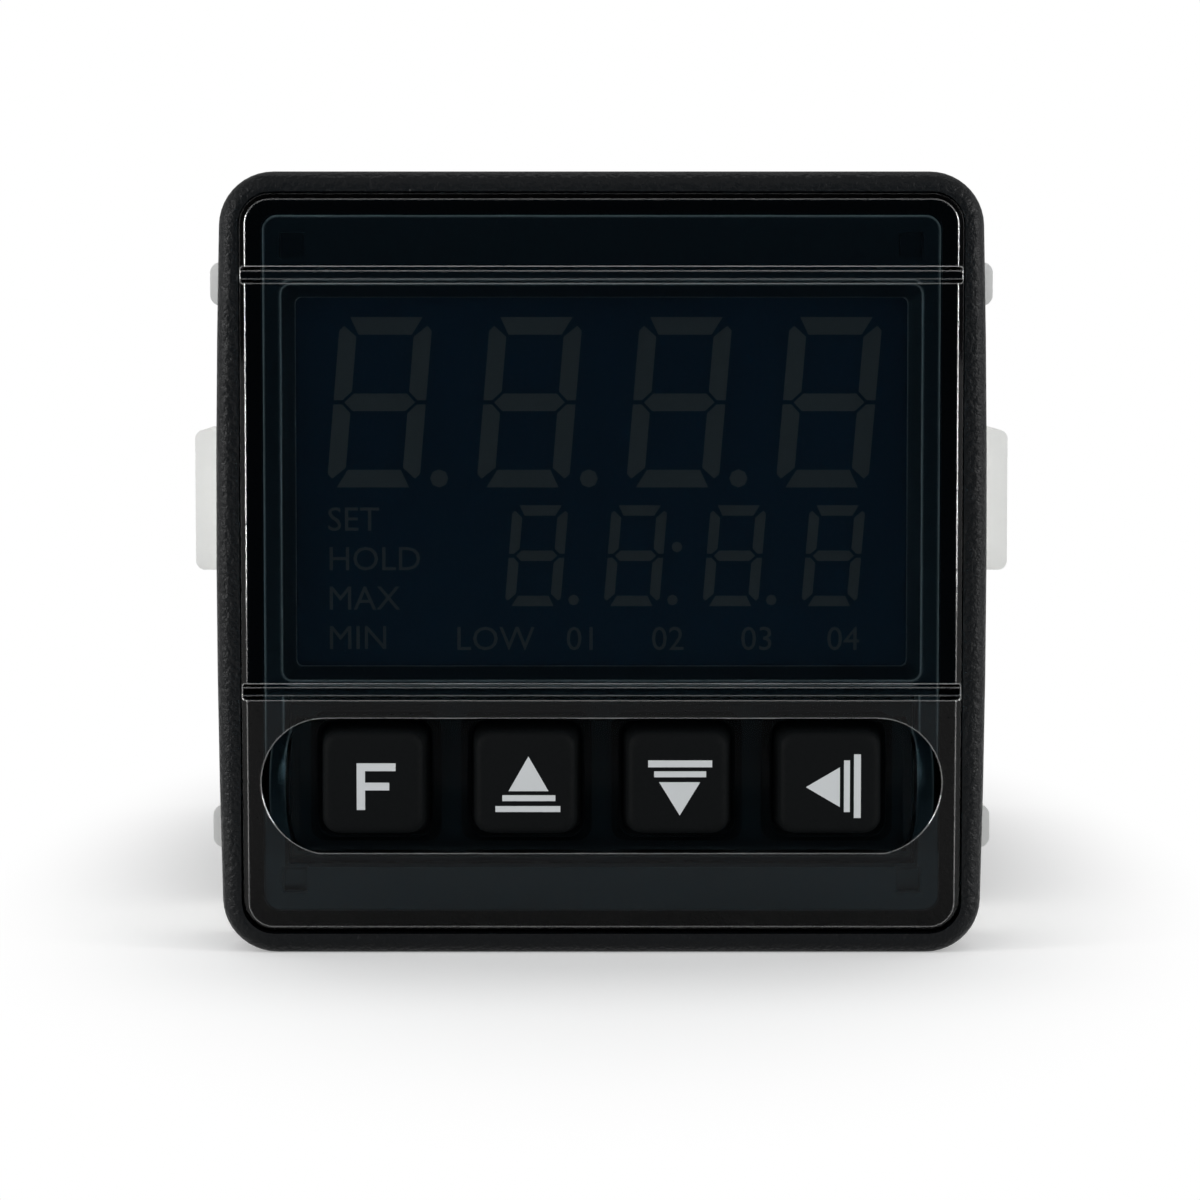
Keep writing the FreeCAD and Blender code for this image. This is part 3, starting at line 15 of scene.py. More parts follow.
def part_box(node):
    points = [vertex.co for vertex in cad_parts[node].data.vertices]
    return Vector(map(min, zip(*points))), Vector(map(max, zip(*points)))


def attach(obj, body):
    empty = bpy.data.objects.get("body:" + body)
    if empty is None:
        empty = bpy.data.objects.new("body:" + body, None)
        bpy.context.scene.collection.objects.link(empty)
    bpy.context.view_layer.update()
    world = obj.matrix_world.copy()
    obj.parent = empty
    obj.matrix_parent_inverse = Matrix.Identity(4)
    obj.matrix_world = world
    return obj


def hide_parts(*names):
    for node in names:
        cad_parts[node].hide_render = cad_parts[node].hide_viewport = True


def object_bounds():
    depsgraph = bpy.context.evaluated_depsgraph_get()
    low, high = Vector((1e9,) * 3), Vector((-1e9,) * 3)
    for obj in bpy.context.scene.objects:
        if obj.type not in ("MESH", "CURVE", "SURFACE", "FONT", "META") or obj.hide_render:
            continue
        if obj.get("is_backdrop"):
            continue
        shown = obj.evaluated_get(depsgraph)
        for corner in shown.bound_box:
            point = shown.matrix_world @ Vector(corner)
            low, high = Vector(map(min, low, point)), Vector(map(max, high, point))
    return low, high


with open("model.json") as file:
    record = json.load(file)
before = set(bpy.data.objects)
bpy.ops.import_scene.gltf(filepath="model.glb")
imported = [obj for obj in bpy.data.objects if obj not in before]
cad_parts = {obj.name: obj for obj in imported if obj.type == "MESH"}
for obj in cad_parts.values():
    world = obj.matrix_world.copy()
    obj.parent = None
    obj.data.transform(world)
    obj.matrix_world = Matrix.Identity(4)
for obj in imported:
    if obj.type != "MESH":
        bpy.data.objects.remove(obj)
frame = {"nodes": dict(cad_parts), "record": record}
nodes = frame["nodes"]
CAD_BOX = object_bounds()
MM = 0.001
scene = bpy.context.scene

# %% [markdown]
# The photograph was taken from a little above, straight on, with the face almost filling the frame.
# The distance was read from the tabs of the clamp, which stand well behind the face and so look
# smaller than they are. One pixel of a 1200 pixel picture is 1/16 mm in the plane of the window.

# %% Camera
ELEVATION = math.radians(4.0)
DISTANCE = 260 * MM
FIELD = 74.8 * MM
SENSOR = 36
AIM = Vector((-0.094, -5.368, -2.245)) * MM
look = Vector((0, math.cos(ELEVATION), -math.sin(ELEVATION)))
lens = bpy.data.cameras.new("camera")
lens.sensor_width = SENSOR
lens.lens = SENSOR * DISTANCE / FIELD
lens.clip_start = 10 * MM
camera = bpy.data.objects.new("camera", lens)
camera.location = AIM - look * DISTANCE
camera.rotation_euler = (math.pi / 2 - ELEVATION, 0, 0)
scene.collection.objects.link(camera)
scene.camera = camera
scene.view_settings.view_transform = "Standard"
print("lens", round(lens.lens, 1), "mm")

# %% [markdown]
# Three helpers carry all the materials. The first turns a colour as it is written on a swatch into
# the linear numbers that a shader wants. The second adds a node, sets its options and fills or links
# its sockets, so that a material reads as a list of what it is made of. The third starts a material.

# %% Colour and node helpers


def colour(swatch, gain=1.0):
    """Linear RGBA of an sRGB hex value."""
    parts = [int(swatch[i:i + 2], 16) / 255 for i in (1, 3, 5)]
    linear = [p / 12.92 if p <= 0.04045 else ((p + 0.055) / 1.055) ** 2.4 for p in parts]
    return (*(min(1.0, c * gain) for c in linear), 1.0)


def add(tree, kind, sockets=None, **options):
    """Adds a node. A socket gets a plain value, or the output that feeds it."""
    node = tree.nodes.new(kind)
    for name, value in options.items():
        setattr(node, name, value)
    for name, value in (sockets or {}).items():
        if isinstance(value, bpy.types.NodeSocket):
            tree.links.new(value, node.inputs[name])
        else:
            node.inputs[name].default_value = value
    return node


def blank(name):
    """A material with an empty node tree, and that tree."""
    material = bpy.data.materials.new(name)
    material.use_nodes = True
    material.node_tree.nodes.clear()
    return material, material.node_tree


# %% [markdown]
# Most of the pieces are injection mouldings. The steel mould is spark eroded, so the plastic comes
# out with a fine pebbled grain that scatters the light. A noise texture at the size of that grain
# drives a bump, and a second, broader one varies the colour a little, as flow in the mould does.

# %% Moulded plastics and rubbers
FLOW_MM = 6
SHEEN_SWING = 0.06


def moulding(name, swatch, roughness, grain_mm, relief_mm, swing=0.12, **sockets):
    """Moulded plastic or rubber with a grain of that width and depth."""
    material, tree = blank(name)
    place = add(tree, "ShaderNodeTexCoord").outputs["Object"]
    grain = add(tree, "ShaderNodeTexNoise", {
        "Vector": place, "Scale": 1 / (grain_mm * MM), "Detail": 2.0, "Roughness": 0.55}).outputs["Fac"]
    flow = add(tree, "ShaderNodeTexNoise", {
        "Vector": place, "Scale": 1 / (FLOW_MM * MM), "Detail": 3.0}).outputs["Fac"]
    tone = add(tree, "ShaderNodeMix", {
        0: flow, 6: colour(swatch, 1 - swing), 7: colour(swatch, 1 + swing)}, data_type="RGBA")
    sheen = add(tree, "ShaderNodeMapRange", {
        "Value": grain, "From Min": 0.3, "From Max": 0.7,
        "To Min": roughness - SHEEN_SWING, "To Max": roughness + SHEEN_SWING})
    bump = add(tree, "ShaderNodeBump", {
        "Height": grain, "Strength": 0.8, "Distance": relief_mm * MM})
    skin = add(tree, "ShaderNodeBsdfPrincipled", {
        "Base Color": tone.outputs[2], "Normal": bump.outputs["Normal"],
        "Roughness": sheen.outputs["Result"], **sockets})
    add(tree, "ShaderNodeOutputMaterial", {"Surface": skin.outputs["BSDF"]})
    return material


finishes = {
    # Flame-retardant ABS, spark-eroded mould: soft grey edges, no mirror image
    "case_plastic": moulding("grained_black_abs", "#0a0c0e", 0.4, 0.34, 0.16, swing=0.2,
                             **{"Specular IOR Level": 0.15}),
    "switch_plastic": moulding("black_nylon", "#1d1e1f", 0.5, 0.15, 0.010),
    # Glass-filled polyester of the terminals, slightly lighter and drier
    "terminal_plastic": moulding("terminal_polyester", "#34373a", 0.6, 0.22, 0.020),
    # Silicone rubber: very matte, hardly any gleam
    "key_rubber": moulding("key_silicone", "#07090a", 0.68, 0.16, 0.012,
                           **{"Specular IOR Level": 0.08}),
    "gasket_rubber": moulding("gasket_rubber", "#1a1a1b", 0.8, 0.3, 0.03),
    "contact_rubber": moulding("contact_silicone", "#6e6f74", 0.7, 0.2, 0.01),
    # Natural nylon of the clamp, off-white and a little waxy
    "clamp_nylon": moulding("natural_nylon", "#fafaf7", 0.42, 0.5, 0.010, swing=0.03,
                            **{"Subsurface Weight": 0.25, "Subsurface Radius": (1, 1, 1),
                               "Subsurface Scale": MM}),
    "plunger_plastic": moulding("plunger_acetal", "#c4bfb4", 0.4, 0.3, 0.005),
    "diffuser_plastic": moulding("milky_acrylic", "#eceeef", 0.35, 0.4, 0.004, swing=0.03),
    "led_resin": moulding("led_resin", "#e8dc9c", 0.25, 0.3, 0.003),
    "relay_plastic": moulding("relay_cover", "#2c5a98", 0.32, 0.3, 0.006),
    "chip_resin": moulding("epoxy_moulding", "#202123", 0.55, 0.1, 0.006),
    "core_ferrite": moulding("ferrite", "#4a4a4c", 0.6, 0.2, 0.03, swing=0.25),
    "coil_tape": moulding("polyester_tape", "#dcae34", 0.28, 1.2, 0.03),
    "capacitor_sleeve": moulding("shrink_sleeve", "#25273a", 0.3, 1.0, 0.02),
    "varistor_coat": moulding("dipped_epoxy", "#2d559c", 0.4, 0.8, 0.06),
}
print(len(finishes), "mouldings")

# %% [markdown]
# The display's carrier is the same black resin from a polished mould. Its sharp corners are painted
# pale, a painted highlight that draws the thin lines round the display. The Bevel node finds the
# corners: near one, it gives a normal that leans away from the face's own. The square holes for the
# window's posts get no painted highlight, and it fades out downwards and is gone below the keys.

# %% Display carrier
EDGE_HIGHLIGHT_MM = 0.3
POST = (19.18 * MM, 0, 19.8 * MM)
POST_REACH = 1.55 * MM
HIGHLIGHT_ENDS, HIGHLIGHT_STARTS = -17 * MM, -7 * MM


def corners(tree, width_mm):
    """How near a sharp corner the surface is, from 0 to 1, and the rounded normal there."""
    round_off = add(tree, "ShaderNodeBevel", {"Radius": width_mm * MM}, samples=6).outputs["Normal"]
    face = add(tree, "ShaderNodeNewGeometry").outputs["Normal"]
    match = add(tree, "ShaderNodeVectorMath", {0: round_off, 1: face}, operation="DOT_PRODUCT")
    near = add(tree, "ShaderNodeMapRange", {
        "Value": match.outputs["Value"], "From Min": 0.995, "From Max": 0.9})
    return near.outputs["Result"], round_off


material, tree = blank("polished_black_abs_painted_highlights")
near, _ = corners(tree, EDGE_HIGHLIGHT_MM)
place = add(tree, "ShaderNodeTexCoord").outputs["Object"]
flat = add(tree, "ShaderNodeVectorMath", {0: place, 1: (1, 0, 1)}, operation="MULTIPLY")
quarter = add(tree, "ShaderNodeVectorMath", {0: flat.outputs["Vector"]}, operation="ABSOLUTE")
from_post = add(tree, "ShaderNodeVectorMath", {0: quarter.outputs["Vector"], 1: POST},
                operation="DISTANCE").outputs["Value"]
clear = add(tree, "ShaderNodeMath", {0: from_post, 1: POST_REACH}, operation="GREATER_THAN")
height = add(tree, "ShaderNodeSeparateXYZ", {"Vector": place}).outputs["Z"]
upper = add(tree, "ShaderNodeMapRange", {
    "Value": height, "From Min": HIGHLIGHT_ENDS, "From Max": HIGHLIGHT_STARTS}).outputs["Result"]
# Painted highlight: a pale tone on the sharp corners, in place of the light they would catch
painted_edge_highlight = add(tree, "ShaderNodeMath", {0: near, 1: clear.outputs[0]}, operation="MULTIPLY")
painted_edge_highlight = add(tree, "ShaderNodeMath", {0: painted_edge_highlight.outputs[0], 1: upper}, operation="MULTIPLY")
tone = add(tree, "ShaderNodeMix", {
    0: painted_edge_highlight.outputs[0], 6: colour("#13171a"), 7: colour("#f0d2c6")}, data_type="RGBA")
skin = add(tree, "ShaderNodeBsdfPrincipled", {"Base Color": tone.outputs[2], "Roughness": 0.3})
add(tree, "ShaderNodeOutputMaterial", {"Surface": skin.outputs["BSDF"]})
finishes["frame_plastic"] = material
print("carrier", material.name)

# %% [markdown]
# The boards are glass-fibre laminate under solder mask. Copper runs under the mask show as slightly
# lighter tracks. A brick pattern with long thin bricks stands in for the tracks, with a weave of
# the glass cloth beneath it.

# %% Circuit boards
TRACK_MM, CLOTH_MM, CLOTH_RELIEF_MM = 4, 0.5, 0.02


def laminate(name, mask, track):
    """Board with tracks under solder mask."""
    material, tree = blank(name)
    place = add(tree, "ShaderNodeTexCoord").outputs["Object"]
    turned = add(tree, "ShaderNodeMapping", {"Vector": place, "Rotation": (0, math.pi / 2, 0)})
    tracks = add(tree, "ShaderNodeTexBrick", {
        "Vector": turned.outputs["Vector"], "Scale": 1 / (TRACK_MM * MM), "Mortar Size": 0.06,
        "Mortar Smooth": 0.2, "Brick Width": 3.0, "Row Height": 0.35,
        "Color1": colour(mask), "Color2": colour(mask, 0.85), "Mortar": colour(track)})
    cloth = add(tree, "ShaderNodeTexNoise", {"Vector": place, "Scale": 1 / (CLOTH_MM * MM)})
    bump = add(tree, "ShaderNodeBump", {
        "Height": cloth.outputs["Fac"], "Strength": 0.4, "Distance": CLOTH_RELIEF_MM * MM})
    skin = add(tree, "ShaderNodeBsdfPrincipled", {
        "Base Color": tracks.outputs["Color"], "Roughness": 0.35, "Normal": bump.outputs["Normal"]})
    add(tree, "ShaderNodeOutputMaterial", {"Surface": skin.outputs["BSDF"]})
    return material


finishes["board_laminate"] = laminate("green_laminate", "#1c6b3a", "#3d8f58")
finishes["board_black"] = laminate("black_laminate", "#16181a", "#222527")

# %% [markdown]
# Screws are zinc plated steel and the wire clamps nickel plated brass. Both were tumbled in a barrel,
# so the plating is bright but clouded. Roughness follows a cloudy noise, and the colour leans to grey
# or to straw with it.

# %% Plated metals


def plating(name, bright, recess_shade, roughness, cloud_mm):
    """Barrel-plated metal with clouds of that size."""
    material, tree = blank(name)
    place = add(tree, "ShaderNodeTexCoord").outputs["Object"]
    cloud = add(tree, "ShaderNodeTexNoise", {
        "Vector": place, "Scale": 1 / (cloud_mm * MM), "Detail": 4.0}).outputs["Fac"]
    tone = add(tree, "ShaderNodeMix", {0: cloud, 6: colour(bright), 7: colour(recess_shade)}, data_type="RGBA")
    sheen = add(tree, "ShaderNodeMapRange", {
        "Value": cloud, "From Min": 0.3, "From Max": 0.7,
        "To Min": roughness - 0.08, "To Max": roughness + 0.12})
    skin = add(tree, "ShaderNodeBsdfPrincipled", {
        "Base Color": tone.outputs[2], "Metallic": 1.0, "Roughness": sheen.outputs["Result"]})
    add(tree, "ShaderNodeOutputMaterial", {"Surface": skin.outputs["BSDF"]})
    return material


finishes["screw_steel"] = plating("zinc_plated_steel", "#d3d4d2", "#a9aaa6", 0.32, 0.8)
finishes["clamp_brass"] = plating("nickel_plated_brass", "#d8cfae", "#a8a08c", 0.34, 0.7)

# %% [markdown]
# The window is one moulding of smoked polycarbonate, polished on its face. Enough light passes to
# show the display behind it, and the rest is lost in the tint. The face mirrors the room only faintly,
# so its IOR was brought down from that of the resin until it does. The key trough is rougher, and its
# mirror image and the lower groove's are dimmed to a quarter as painted shade. A coat on the sharp
# corners of the front stands for the light that such edges gather, and draws them as thin bright lines.

# %% Smoked window
HAZE_MM = 1.5
TROUGH_LIP, TROUGH_FLOOR = -6.6 * MM, -5.8 * MM
TROUGH_Z, TROUGH_HALF = -13.73 * MM, 4.25 * MM
GROOVE_Z, GROOVE_HALF = -7.85 * MM, 0.45 * MM
WINDOW_BACK = -5.3 * MM
EDGE_MM = 0.14
TROUGH_ROUGHNESS = 0.08

material, tree = blank("smoked_polycarbonate")
place = add(tree, "ShaderNodeTexCoord").outputs["Object"]
spot = add(tree, "ShaderNodeSeparateXYZ", {"Vector": place}).outputs
deep = add(tree, "ShaderNodeMapRange", {
    "Value": spot["Y"], "From Min": TROUGH_LIP, "From Max": TROUGH_FLOOR}).outputs["Result"]
level = add(tree, "ShaderNodeMath", {0: spot["Z"], 1: TROUGH_Z, 2: TROUGH_HALF}, operation="COMPARE")
trough = add(tree, "ShaderNodeMath", {0: level.outputs[0], 1: deep}, operation="MULTIPLY").outputs[0]
groove = add(tree, "ShaderNodeMath", {0: spot["Z"], 1: GROOVE_Z, 2: GROOVE_HALF}, operation="COMPARE")
# Painted shade: the mirror image is dimmed to a quarter in the key trough and the lower groove
recess_shade = add(tree, "ShaderNodeMath", {0: trough, 1: groove.outputs[0]}, operation="MAXIMUM")
recess_shade_tint = add(tree, "ShaderNodeMix", {
    0: recess_shade.outputs[0], 6: (1, 1, 1, 1), 7: (0.25, 0.25, 0.25, 1)}, data_type="RGBA")
haze = add(tree, "ShaderNodeTexNoise", {"Vector": place, "Scale": 1 / (HAZE_MM * MM), "Detail": 3.0})
sheen = add(tree, "ShaderNodeMapRange", {
    "Value": haze.outputs["Fac"], "To Min": 0.015, "To Max": 0.045}).outputs["Result"]
sheen = add(tree, "ShaderNodeMath", {
    0: trough, 1: TROUGH_ROUGHNESS, 2: sheen}, operation="MULTIPLY_ADD")
near, round_off = corners(tree, EDGE_MM)
front = add(tree, "ShaderNodeMath", {0: spot["Y"], 1: WINDOW_BACK}, operation="LESS_THAN")
edge = add(tree, "ShaderNodeMath", {0: near, 1: front.outputs[0]}, operation="MULTIPLY")
skin = add(tree, "ShaderNodeBsdfPrincipled", {
    "Base Color": colour("#8ba2ab"), "Roughness": sheen.outputs[0], "Transmission Weight": 1.0,
    "IOR": 1.22, "Specular Tint": recess_shade_tint.outputs[2], "Coat Weight": edge.outputs[0],
    "Coat Roughness": 0.06, "Coat IOR": 4.0, "Coat Normal": round_off})
add(tree, "ShaderNodeOutputMaterial", {"Surface": skin.outputs["BSDF"]})
finishes["smoked_panel"] = material
print("window", material.name)

# %% [markdown]
# The display cell is switched off, so it is a dark blue glass with a soft gleam. The electrodes of the
# digits are etched in its inner face, and show as a shade of grey just lighter than the glass.

# %% Display glass and digits
CAST_MM = 14
material, tree = blank("dark_display_cell")
place = add(tree, "ShaderNodeTexCoord").outputs["Object"]
cast = add(tree, "ShaderNodeTexNoise", {"Vector": place, "Scale": 1 / (CAST_MM * MM), "Detail": 1.0})
tone = add(tree, "ShaderNodeMix", {
    0: cast.outputs["Fac"], 6: colour("#142a39"), 7: colour("#182f3f")}, data_type="RGBA")
skin = add(tree, "ShaderNodeBsdfPrincipled", {
    "Base Color": tone.outputs[2], "Roughness": 0.35, "IOR": 1.3})
add(tree, "ShaderNodeOutputMaterial", {"Surface": skin.outputs["BSDF"]})
finishes["display_glass"] = material
finishes["segment_film"] = moulding("etched_electrode", "#6b564f", 0.5, 0.3, 0.001, swing=0.06)
ink = moulding("white_screen_ink", "#d2d5d6", 0.55, 0.12, 0.004, swing=0.04)

# %% [markdown]
# Each solid knows the slot of its finish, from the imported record.

# %% Dress the solids
for part in frame["record"]["subparts"]:
    nodes[part["node"]].material_slots[0].material = finishes[part["material_slot"]]

# %% [markdown]
# The keys are cast in silicone. Their edges are soft, so each is rebuilt as a stack of rounded
# outlines that draws in over the front edge. The sizes come from the solid it stands for.

# %% Soft keys
EDGE, CORNER, DRAFT = 0.5 * MM, 0.95 * MM, 0.33 * MM
FLANGE, FLANGE_DEPTH = 0.65 * MM, 0.8 * MM
ROUND_STEPS = 6


def keep(name, mesh, body):
    """Puts a mesh in the scene at the origin, riding on a body."""
    piece = bpy.data.objects.new(name, mesh)
    scene.collection.objects.link(piece)
    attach(piece, body)
    return piece


def outline(width, height, corner):
    """Points of a rounded rectangle about the origin."""
    points = []
    for quarter, (sx, sz) in enumerate(((1, 1), (-1, 1), (-1, -1), (1, -1))):
        for step in range(ROUND_STEPS + 1):
            turn = math.pi / 2 * (quarter + step / ROUND_STEPS)
            points.append((sx * (width / 2 - corner) + corner * math.cos(turn),
                           sz * (height / 2 - corner) + corner * math.sin(turn)))
    return points


def soft_key(name):
    """A key with a flange at its back, leaning sides and a rounded front edge."""
    low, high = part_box(f"key_{name}")
    cx, cz = (low.x + high.x) / 2, (low.z + high.z) / 2
    base_w, base_h = high.x - low.x - 2 * FLANGE, high.z - low.z - 2 * FLANGE
    shoulder = high.y - FLANGE_DEPTH
    rings = [(high.y, -FLANGE), (shoulder, -FLANGE), (shoulder, 0), (low.y + EDGE, DRAFT)]
    for step in range(1, ROUND_STEPS + 1):
        turn = math.pi / 2 * step / ROUND_STEPS
        rings.append((low.y + EDGE * (1 - math.sin(turn)), DRAFT + EDGE * (1 - math.cos(turn))))
    build = bmesh.new()
    loops = []
    for y, inset in rings:
        shape = outline(base_w - 2 * inset, base_h - 2 * inset, CORNER)
        loops.append([build.verts.new((cx + x, y, cz + z)) for x, z in shape])
    count = len(loops[0])
    for near, far in zip(loops, loops[1:]):
        for i in range(count):
            j = (i + 1) % count
            build.faces.new((near[i], near[j], far[j], far[i]))
    build.faces.new(loops[-1])
    build.faces.new(loops[0][::-1])
    bmesh.ops.recalc_face_normals(build, faces=build.faces)
    mesh = bpy.data.meshes.new(f"soft_key_{name}")
    build.to_mesh(mesh)
    build.free()
    mesh.polygons.foreach_set("use_smooth", [True] * len(mesh.polygons))
    mesh.set_sharp_from_angle(angle=math.radians(40))
    mesh.materials.append(finishes["key_rubber"])
    piece = keep(f"soft_key_{name}", mesh, f"key_{name}")
    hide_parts(f"key_{name}")


KEYS = ("function", "up", "down", "back")
for name in KEYS:
    soft_key(name)
print("keys", ", ".join(KEYS))

# %% [markdown]
# The symbols are screen printed on the keys: a letter, and arrows above or beside two bars. The ink is
# a film a few hundredths of a millimetre thick, so each symbol is a set of flat shapes with that
# thickness, resting on the face of its key. Their corners are in millimetres from the key's middle.

# %% Printed symbols
FILM = 0.02 * MM


def film(name, shapes, body, y, centre):
    """Flat shapes in millimetres about a centre, as a film in front of y."""
    build = bmesh.new()
    for shape in shapes:
        front = [build.verts.new((centre[0] + x * MM, y - FILM, centre[1] + z * MM)) for x, z in shape]
        back = [build.verts.new((v.co.x, y, v.co.z)) for v in front]
        build.faces.new(front)
        build.faces.new(back[::-1])
        for i in range(len(shape)):
            j = (i + 1) % len(shape)
            build.faces.new((front[j], front[i], back[i], back[j]))
    bmesh.ops.recalc_face_normals(build, faces=build.faces)
    mesh = bpy.data.meshes.new(name)
    build.to_mesh(mesh)
    build.free()
    mesh.materials.append(ink)
    keep(name, mesh, body)


def bar(x0, x1, z0, z1):
    """Corners of an upright rectangle."""
    return [(x0, z0), (x1, z0), (x1, z1), (x0, z1)]


SYMBOLS = {
    "function": [bar(-1.02, -0.5, -1.7, 1.21), bar(-0.5, 1.4, 0.72, 1.21), bar(-0.5, 1.0, -0.48, 0.0)],
    "up": [[(0.19, 1.64), (1.43, -0.53), (-1.05, -0.53)],
           bar(-1.43, 1.86, -1.15, -0.78), bar(-1.86, 2.17, -1.83, -1.46)],
    "down": [bar(-1.83, 2.14, 0.96, 1.39), bar(-1.46, 1.77, 0.34, 0.71),
             [(0.13, -2.05), (-1.15, 0.03), (1.4, 0.03)]],
    "back": [[(-1.49, -0.28), (0.62, -1.52), (0.62, 0.96)],
             bar(0.87, 1.24, -1.83, 1.39), bar(1.49, 1.92, -2.2, 1.77)],
}
for name, shapes in SYMBOLS.items():
    low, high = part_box(f"key_{name}")
    middle = ((low.x + high.x) / 2, (low.z + high.z) / 2)
    film(f"symbol_{name}", shapes, f"key_{name}", low.y, middle)
print(len(SYMBOLS), "symbols printed")

# %% [markdown]
# Below and beside the small digits the display carries a few words and numbers of its own, etched as
# the digits are. They are text, made a mesh and laid on the face of the display.

# %% Legends in the display
CAPITAL = 0.729
LEGEND_HEIGHT = 1.55
COLUMN_X, COLUMN_TOP, COLUMN_PITCH = -17.2, 2.0, 2.48
ROW_Z = -5.5


def lettering(name, words, body, y, finish, mirrored=False):
    """Words as (text, x, z, capital height) in millimetres, upright in the plane y."""
    turn = Matrix.Rotation(math.pi if mirrored else 0, 4, "Z") @ Matrix.Rotation(math.pi / 2, 4, "X")
    build = bmesh.new()
    for text, x, z, height in words:
        font = bpy.data.curves.new("words", "FONT")
        font.body = text
        font.size = height * MM / CAPITAL
        font.extrude = FILM / 2
        font.align_x = "CENTER" if mirrored else "LEFT"
        font.resolution_u = 3
        holder = bpy.data.objects.new("words", font)
        scene.collection.objects.link(holder)
        depsgraph = bpy.context.evaluated_depsgraph_get()
        mesh = bpy.data.meshes.new_from_object(holder.evaluated_get(depsgraph))
        mesh.transform(Matrix.Translation((x * MM, y, z * MM)) @ turn)
        build.from_mesh(mesh)
        bpy.data.meshes.remove(mesh)
        bpy.data.objects.remove(holder)
        bpy.data.curves.remove(font)
    mesh = bpy.data.meshes.new(name)
    build.to_mesh(mesh)
    build.free()
    mesh.materials.clear()
    mesh.materials.append(finish)
    keep(name, mesh, body)


display_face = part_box("display_segments")[0].y
legends = [(word, COLUMN_X, COLUMN_TOP - COLUMN_PITCH * i, LEGEND_HEIGHT)
           for i, word in enumerate(("SET", "HOLD", "MAX", "MIN"))]
legends += [(word, x, ROW_Z, LEGEND_HEIGHT)
            for word, x in (("LOW", -9.2), ("01", -2.25), ("02", 3.1), ("03", 8.7), ("04", 14.1))]
lettering("display_legends", legends, "case", display_face + FILM / 2,
          finishes["segment_film"])
print("legends", len(legends))

# %% [markdown]
# Twelve screws close the terminals. They are alike and stand in two columns, so a Geometry Nodes tree
# turns one screw and sets it on a grid of points. The head has a sloping rim and a slot with a cross
# cut, and each screw was driven home to its own angle.

# %% Terminal screws
SCREWS = 6
HEAD, HEAD_DEPTH, RIM_DEPTH = 1.95 * MM, 2.0 * MM, 0.22 * MM
SHANK, SHANK_LENGTH, SLOT = 1.4 * MM, 6.0 * MM, 0.7 * MM
# Shares of the head's radius, and of its depth for the last
RIM_TOP, LONG_CUT, CROSS_CUT, CUT_LEVEL = 0.86, 2.2, 1.15, 0.72
ANGLE = 1.2

screws_low, screws_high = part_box("terminal_screws")
pitch = (screws_high.z - screws_low.z - 2 * HEAD) / (SCREWS - 1)
tree = bpy.data.node_groups.new("screw_columns", "GeometryNodeTree")
for name, kind, value in (("Columns Apart", "NodeSocketFloat", screws_high.x - screws_low.x - 2 * HEAD),
                          ("Pitch", "NodeSocketFloat", pitch),
                          ("Head Radius", "NodeSocketFloat", HEAD),
                          ("Head Depth", "NodeSocketFloat", HEAD_DEPTH),
                          ("Shank Radius", "NodeSocketFloat", SHANK),
                          ("Shank Length", "NodeSocketFloat", SHANK_LENGTH),
                          ("Slot", "NodeSocketFloat", SLOT),
                          ("Rows", "NodeSocketInt", SCREWS)):
    tree.interface.new_socket(name, in_out="INPUT", socket_type=kind).default_value = value
tree.interface.new_socket("Geometry", in_out="OUTPUT", socket_type="NodeSocketGeometry")
sizes = add(tree, "NodeGroupInput").outputs

half = add(tree, "ShaderNodeMath", {0: sizes["Head Depth"], 1: 2.0}, operation="DIVIDE").outputs[0]
rim = add(tree, "ShaderNodeMath", {0: sizes["Head Radius"], 1: RIM_TOP}, operation="MULTIPLY")
head = add(tree, "GeometryNodeMeshCylinder", {
    "Vertices": 40, "Radius": sizes["Head Radius"], "Depth": sizes["Head Depth"]})
crown = add(tree, "GeometryNodeMeshCone", {
    "Vertices": 40, "Radius Top": rim.outputs[0], "Radius Bottom": sizes["Head Radius"],
    "Depth": RIM_DEPTH})
lift = add(tree, "ShaderNodeCombineXYZ", {"Z": half})
crown = add(tree, "GeometryNodeTransform", {
    "Geometry": crown.outputs["Mesh"], "Translation": lift.outputs[0]})
drop = add(tree, "ShaderNodeMath", {0: sizes["Shank Length"], 1: -0.5}, operation="MULTIPLY")
drop = add(tree, "ShaderNodeMath", {0: drop.outputs[0], 1: half}, operation="SUBTRACT")
sink = add(tree, "ShaderNodeCombineXYZ", {"Z": drop.outputs[0]})
shank = add(tree, "GeometryNodeMeshCylinder", {
    "Vertices": 20, "Radius": sizes["Shank Radius"], "Depth": sizes["Shank Length"]})
shank = add(tree, "GeometryNodeTransform", {
    "Geometry": shank.outputs["Mesh"], "Translation": sink.outputs[0]})

wide = add(tree, "ShaderNodeMath", {0: sizes["Head Radius"], 1: LONG_CUT}, operation="MULTIPLY")
short = add(tree, "ShaderNodeMath", {0: sizes["Head Radius"], 1: CROSS_CUT}, operation="MULTIPLY")
above = add(tree, "ShaderNodeMath", {0: sizes["Head Depth"], 1: CUT_LEVEL}, operation="MULTIPLY")
raised = add(tree, "ShaderNodeCombineXYZ", {"Z": above.outputs[0]})
cutters = []
for across, along in ((wide.outputs[0], sizes["Slot"]), (sizes["Slot"], short.outputs[0])):
    cut = add(tree, "ShaderNodeCombineXYZ", {"X": across, "Y": along, "Z": sizes["Head Depth"]})
    block = add(tree, "GeometryNodeMeshCube", {"Size": cut.outputs[0]})
    cutters.append(add(tree, "GeometryNodeTransform", {
        "Geometry": block.outputs["Mesh"], "Translation": raised.outputs[0]}).outputs[0])
whole = add(tree, "GeometryNodeMeshBoolean", operation="UNION")
for part in (head.outputs["Mesh"], crown.outputs[0]):
    tree.links.new(part, whole.inputs["Mesh 2"])
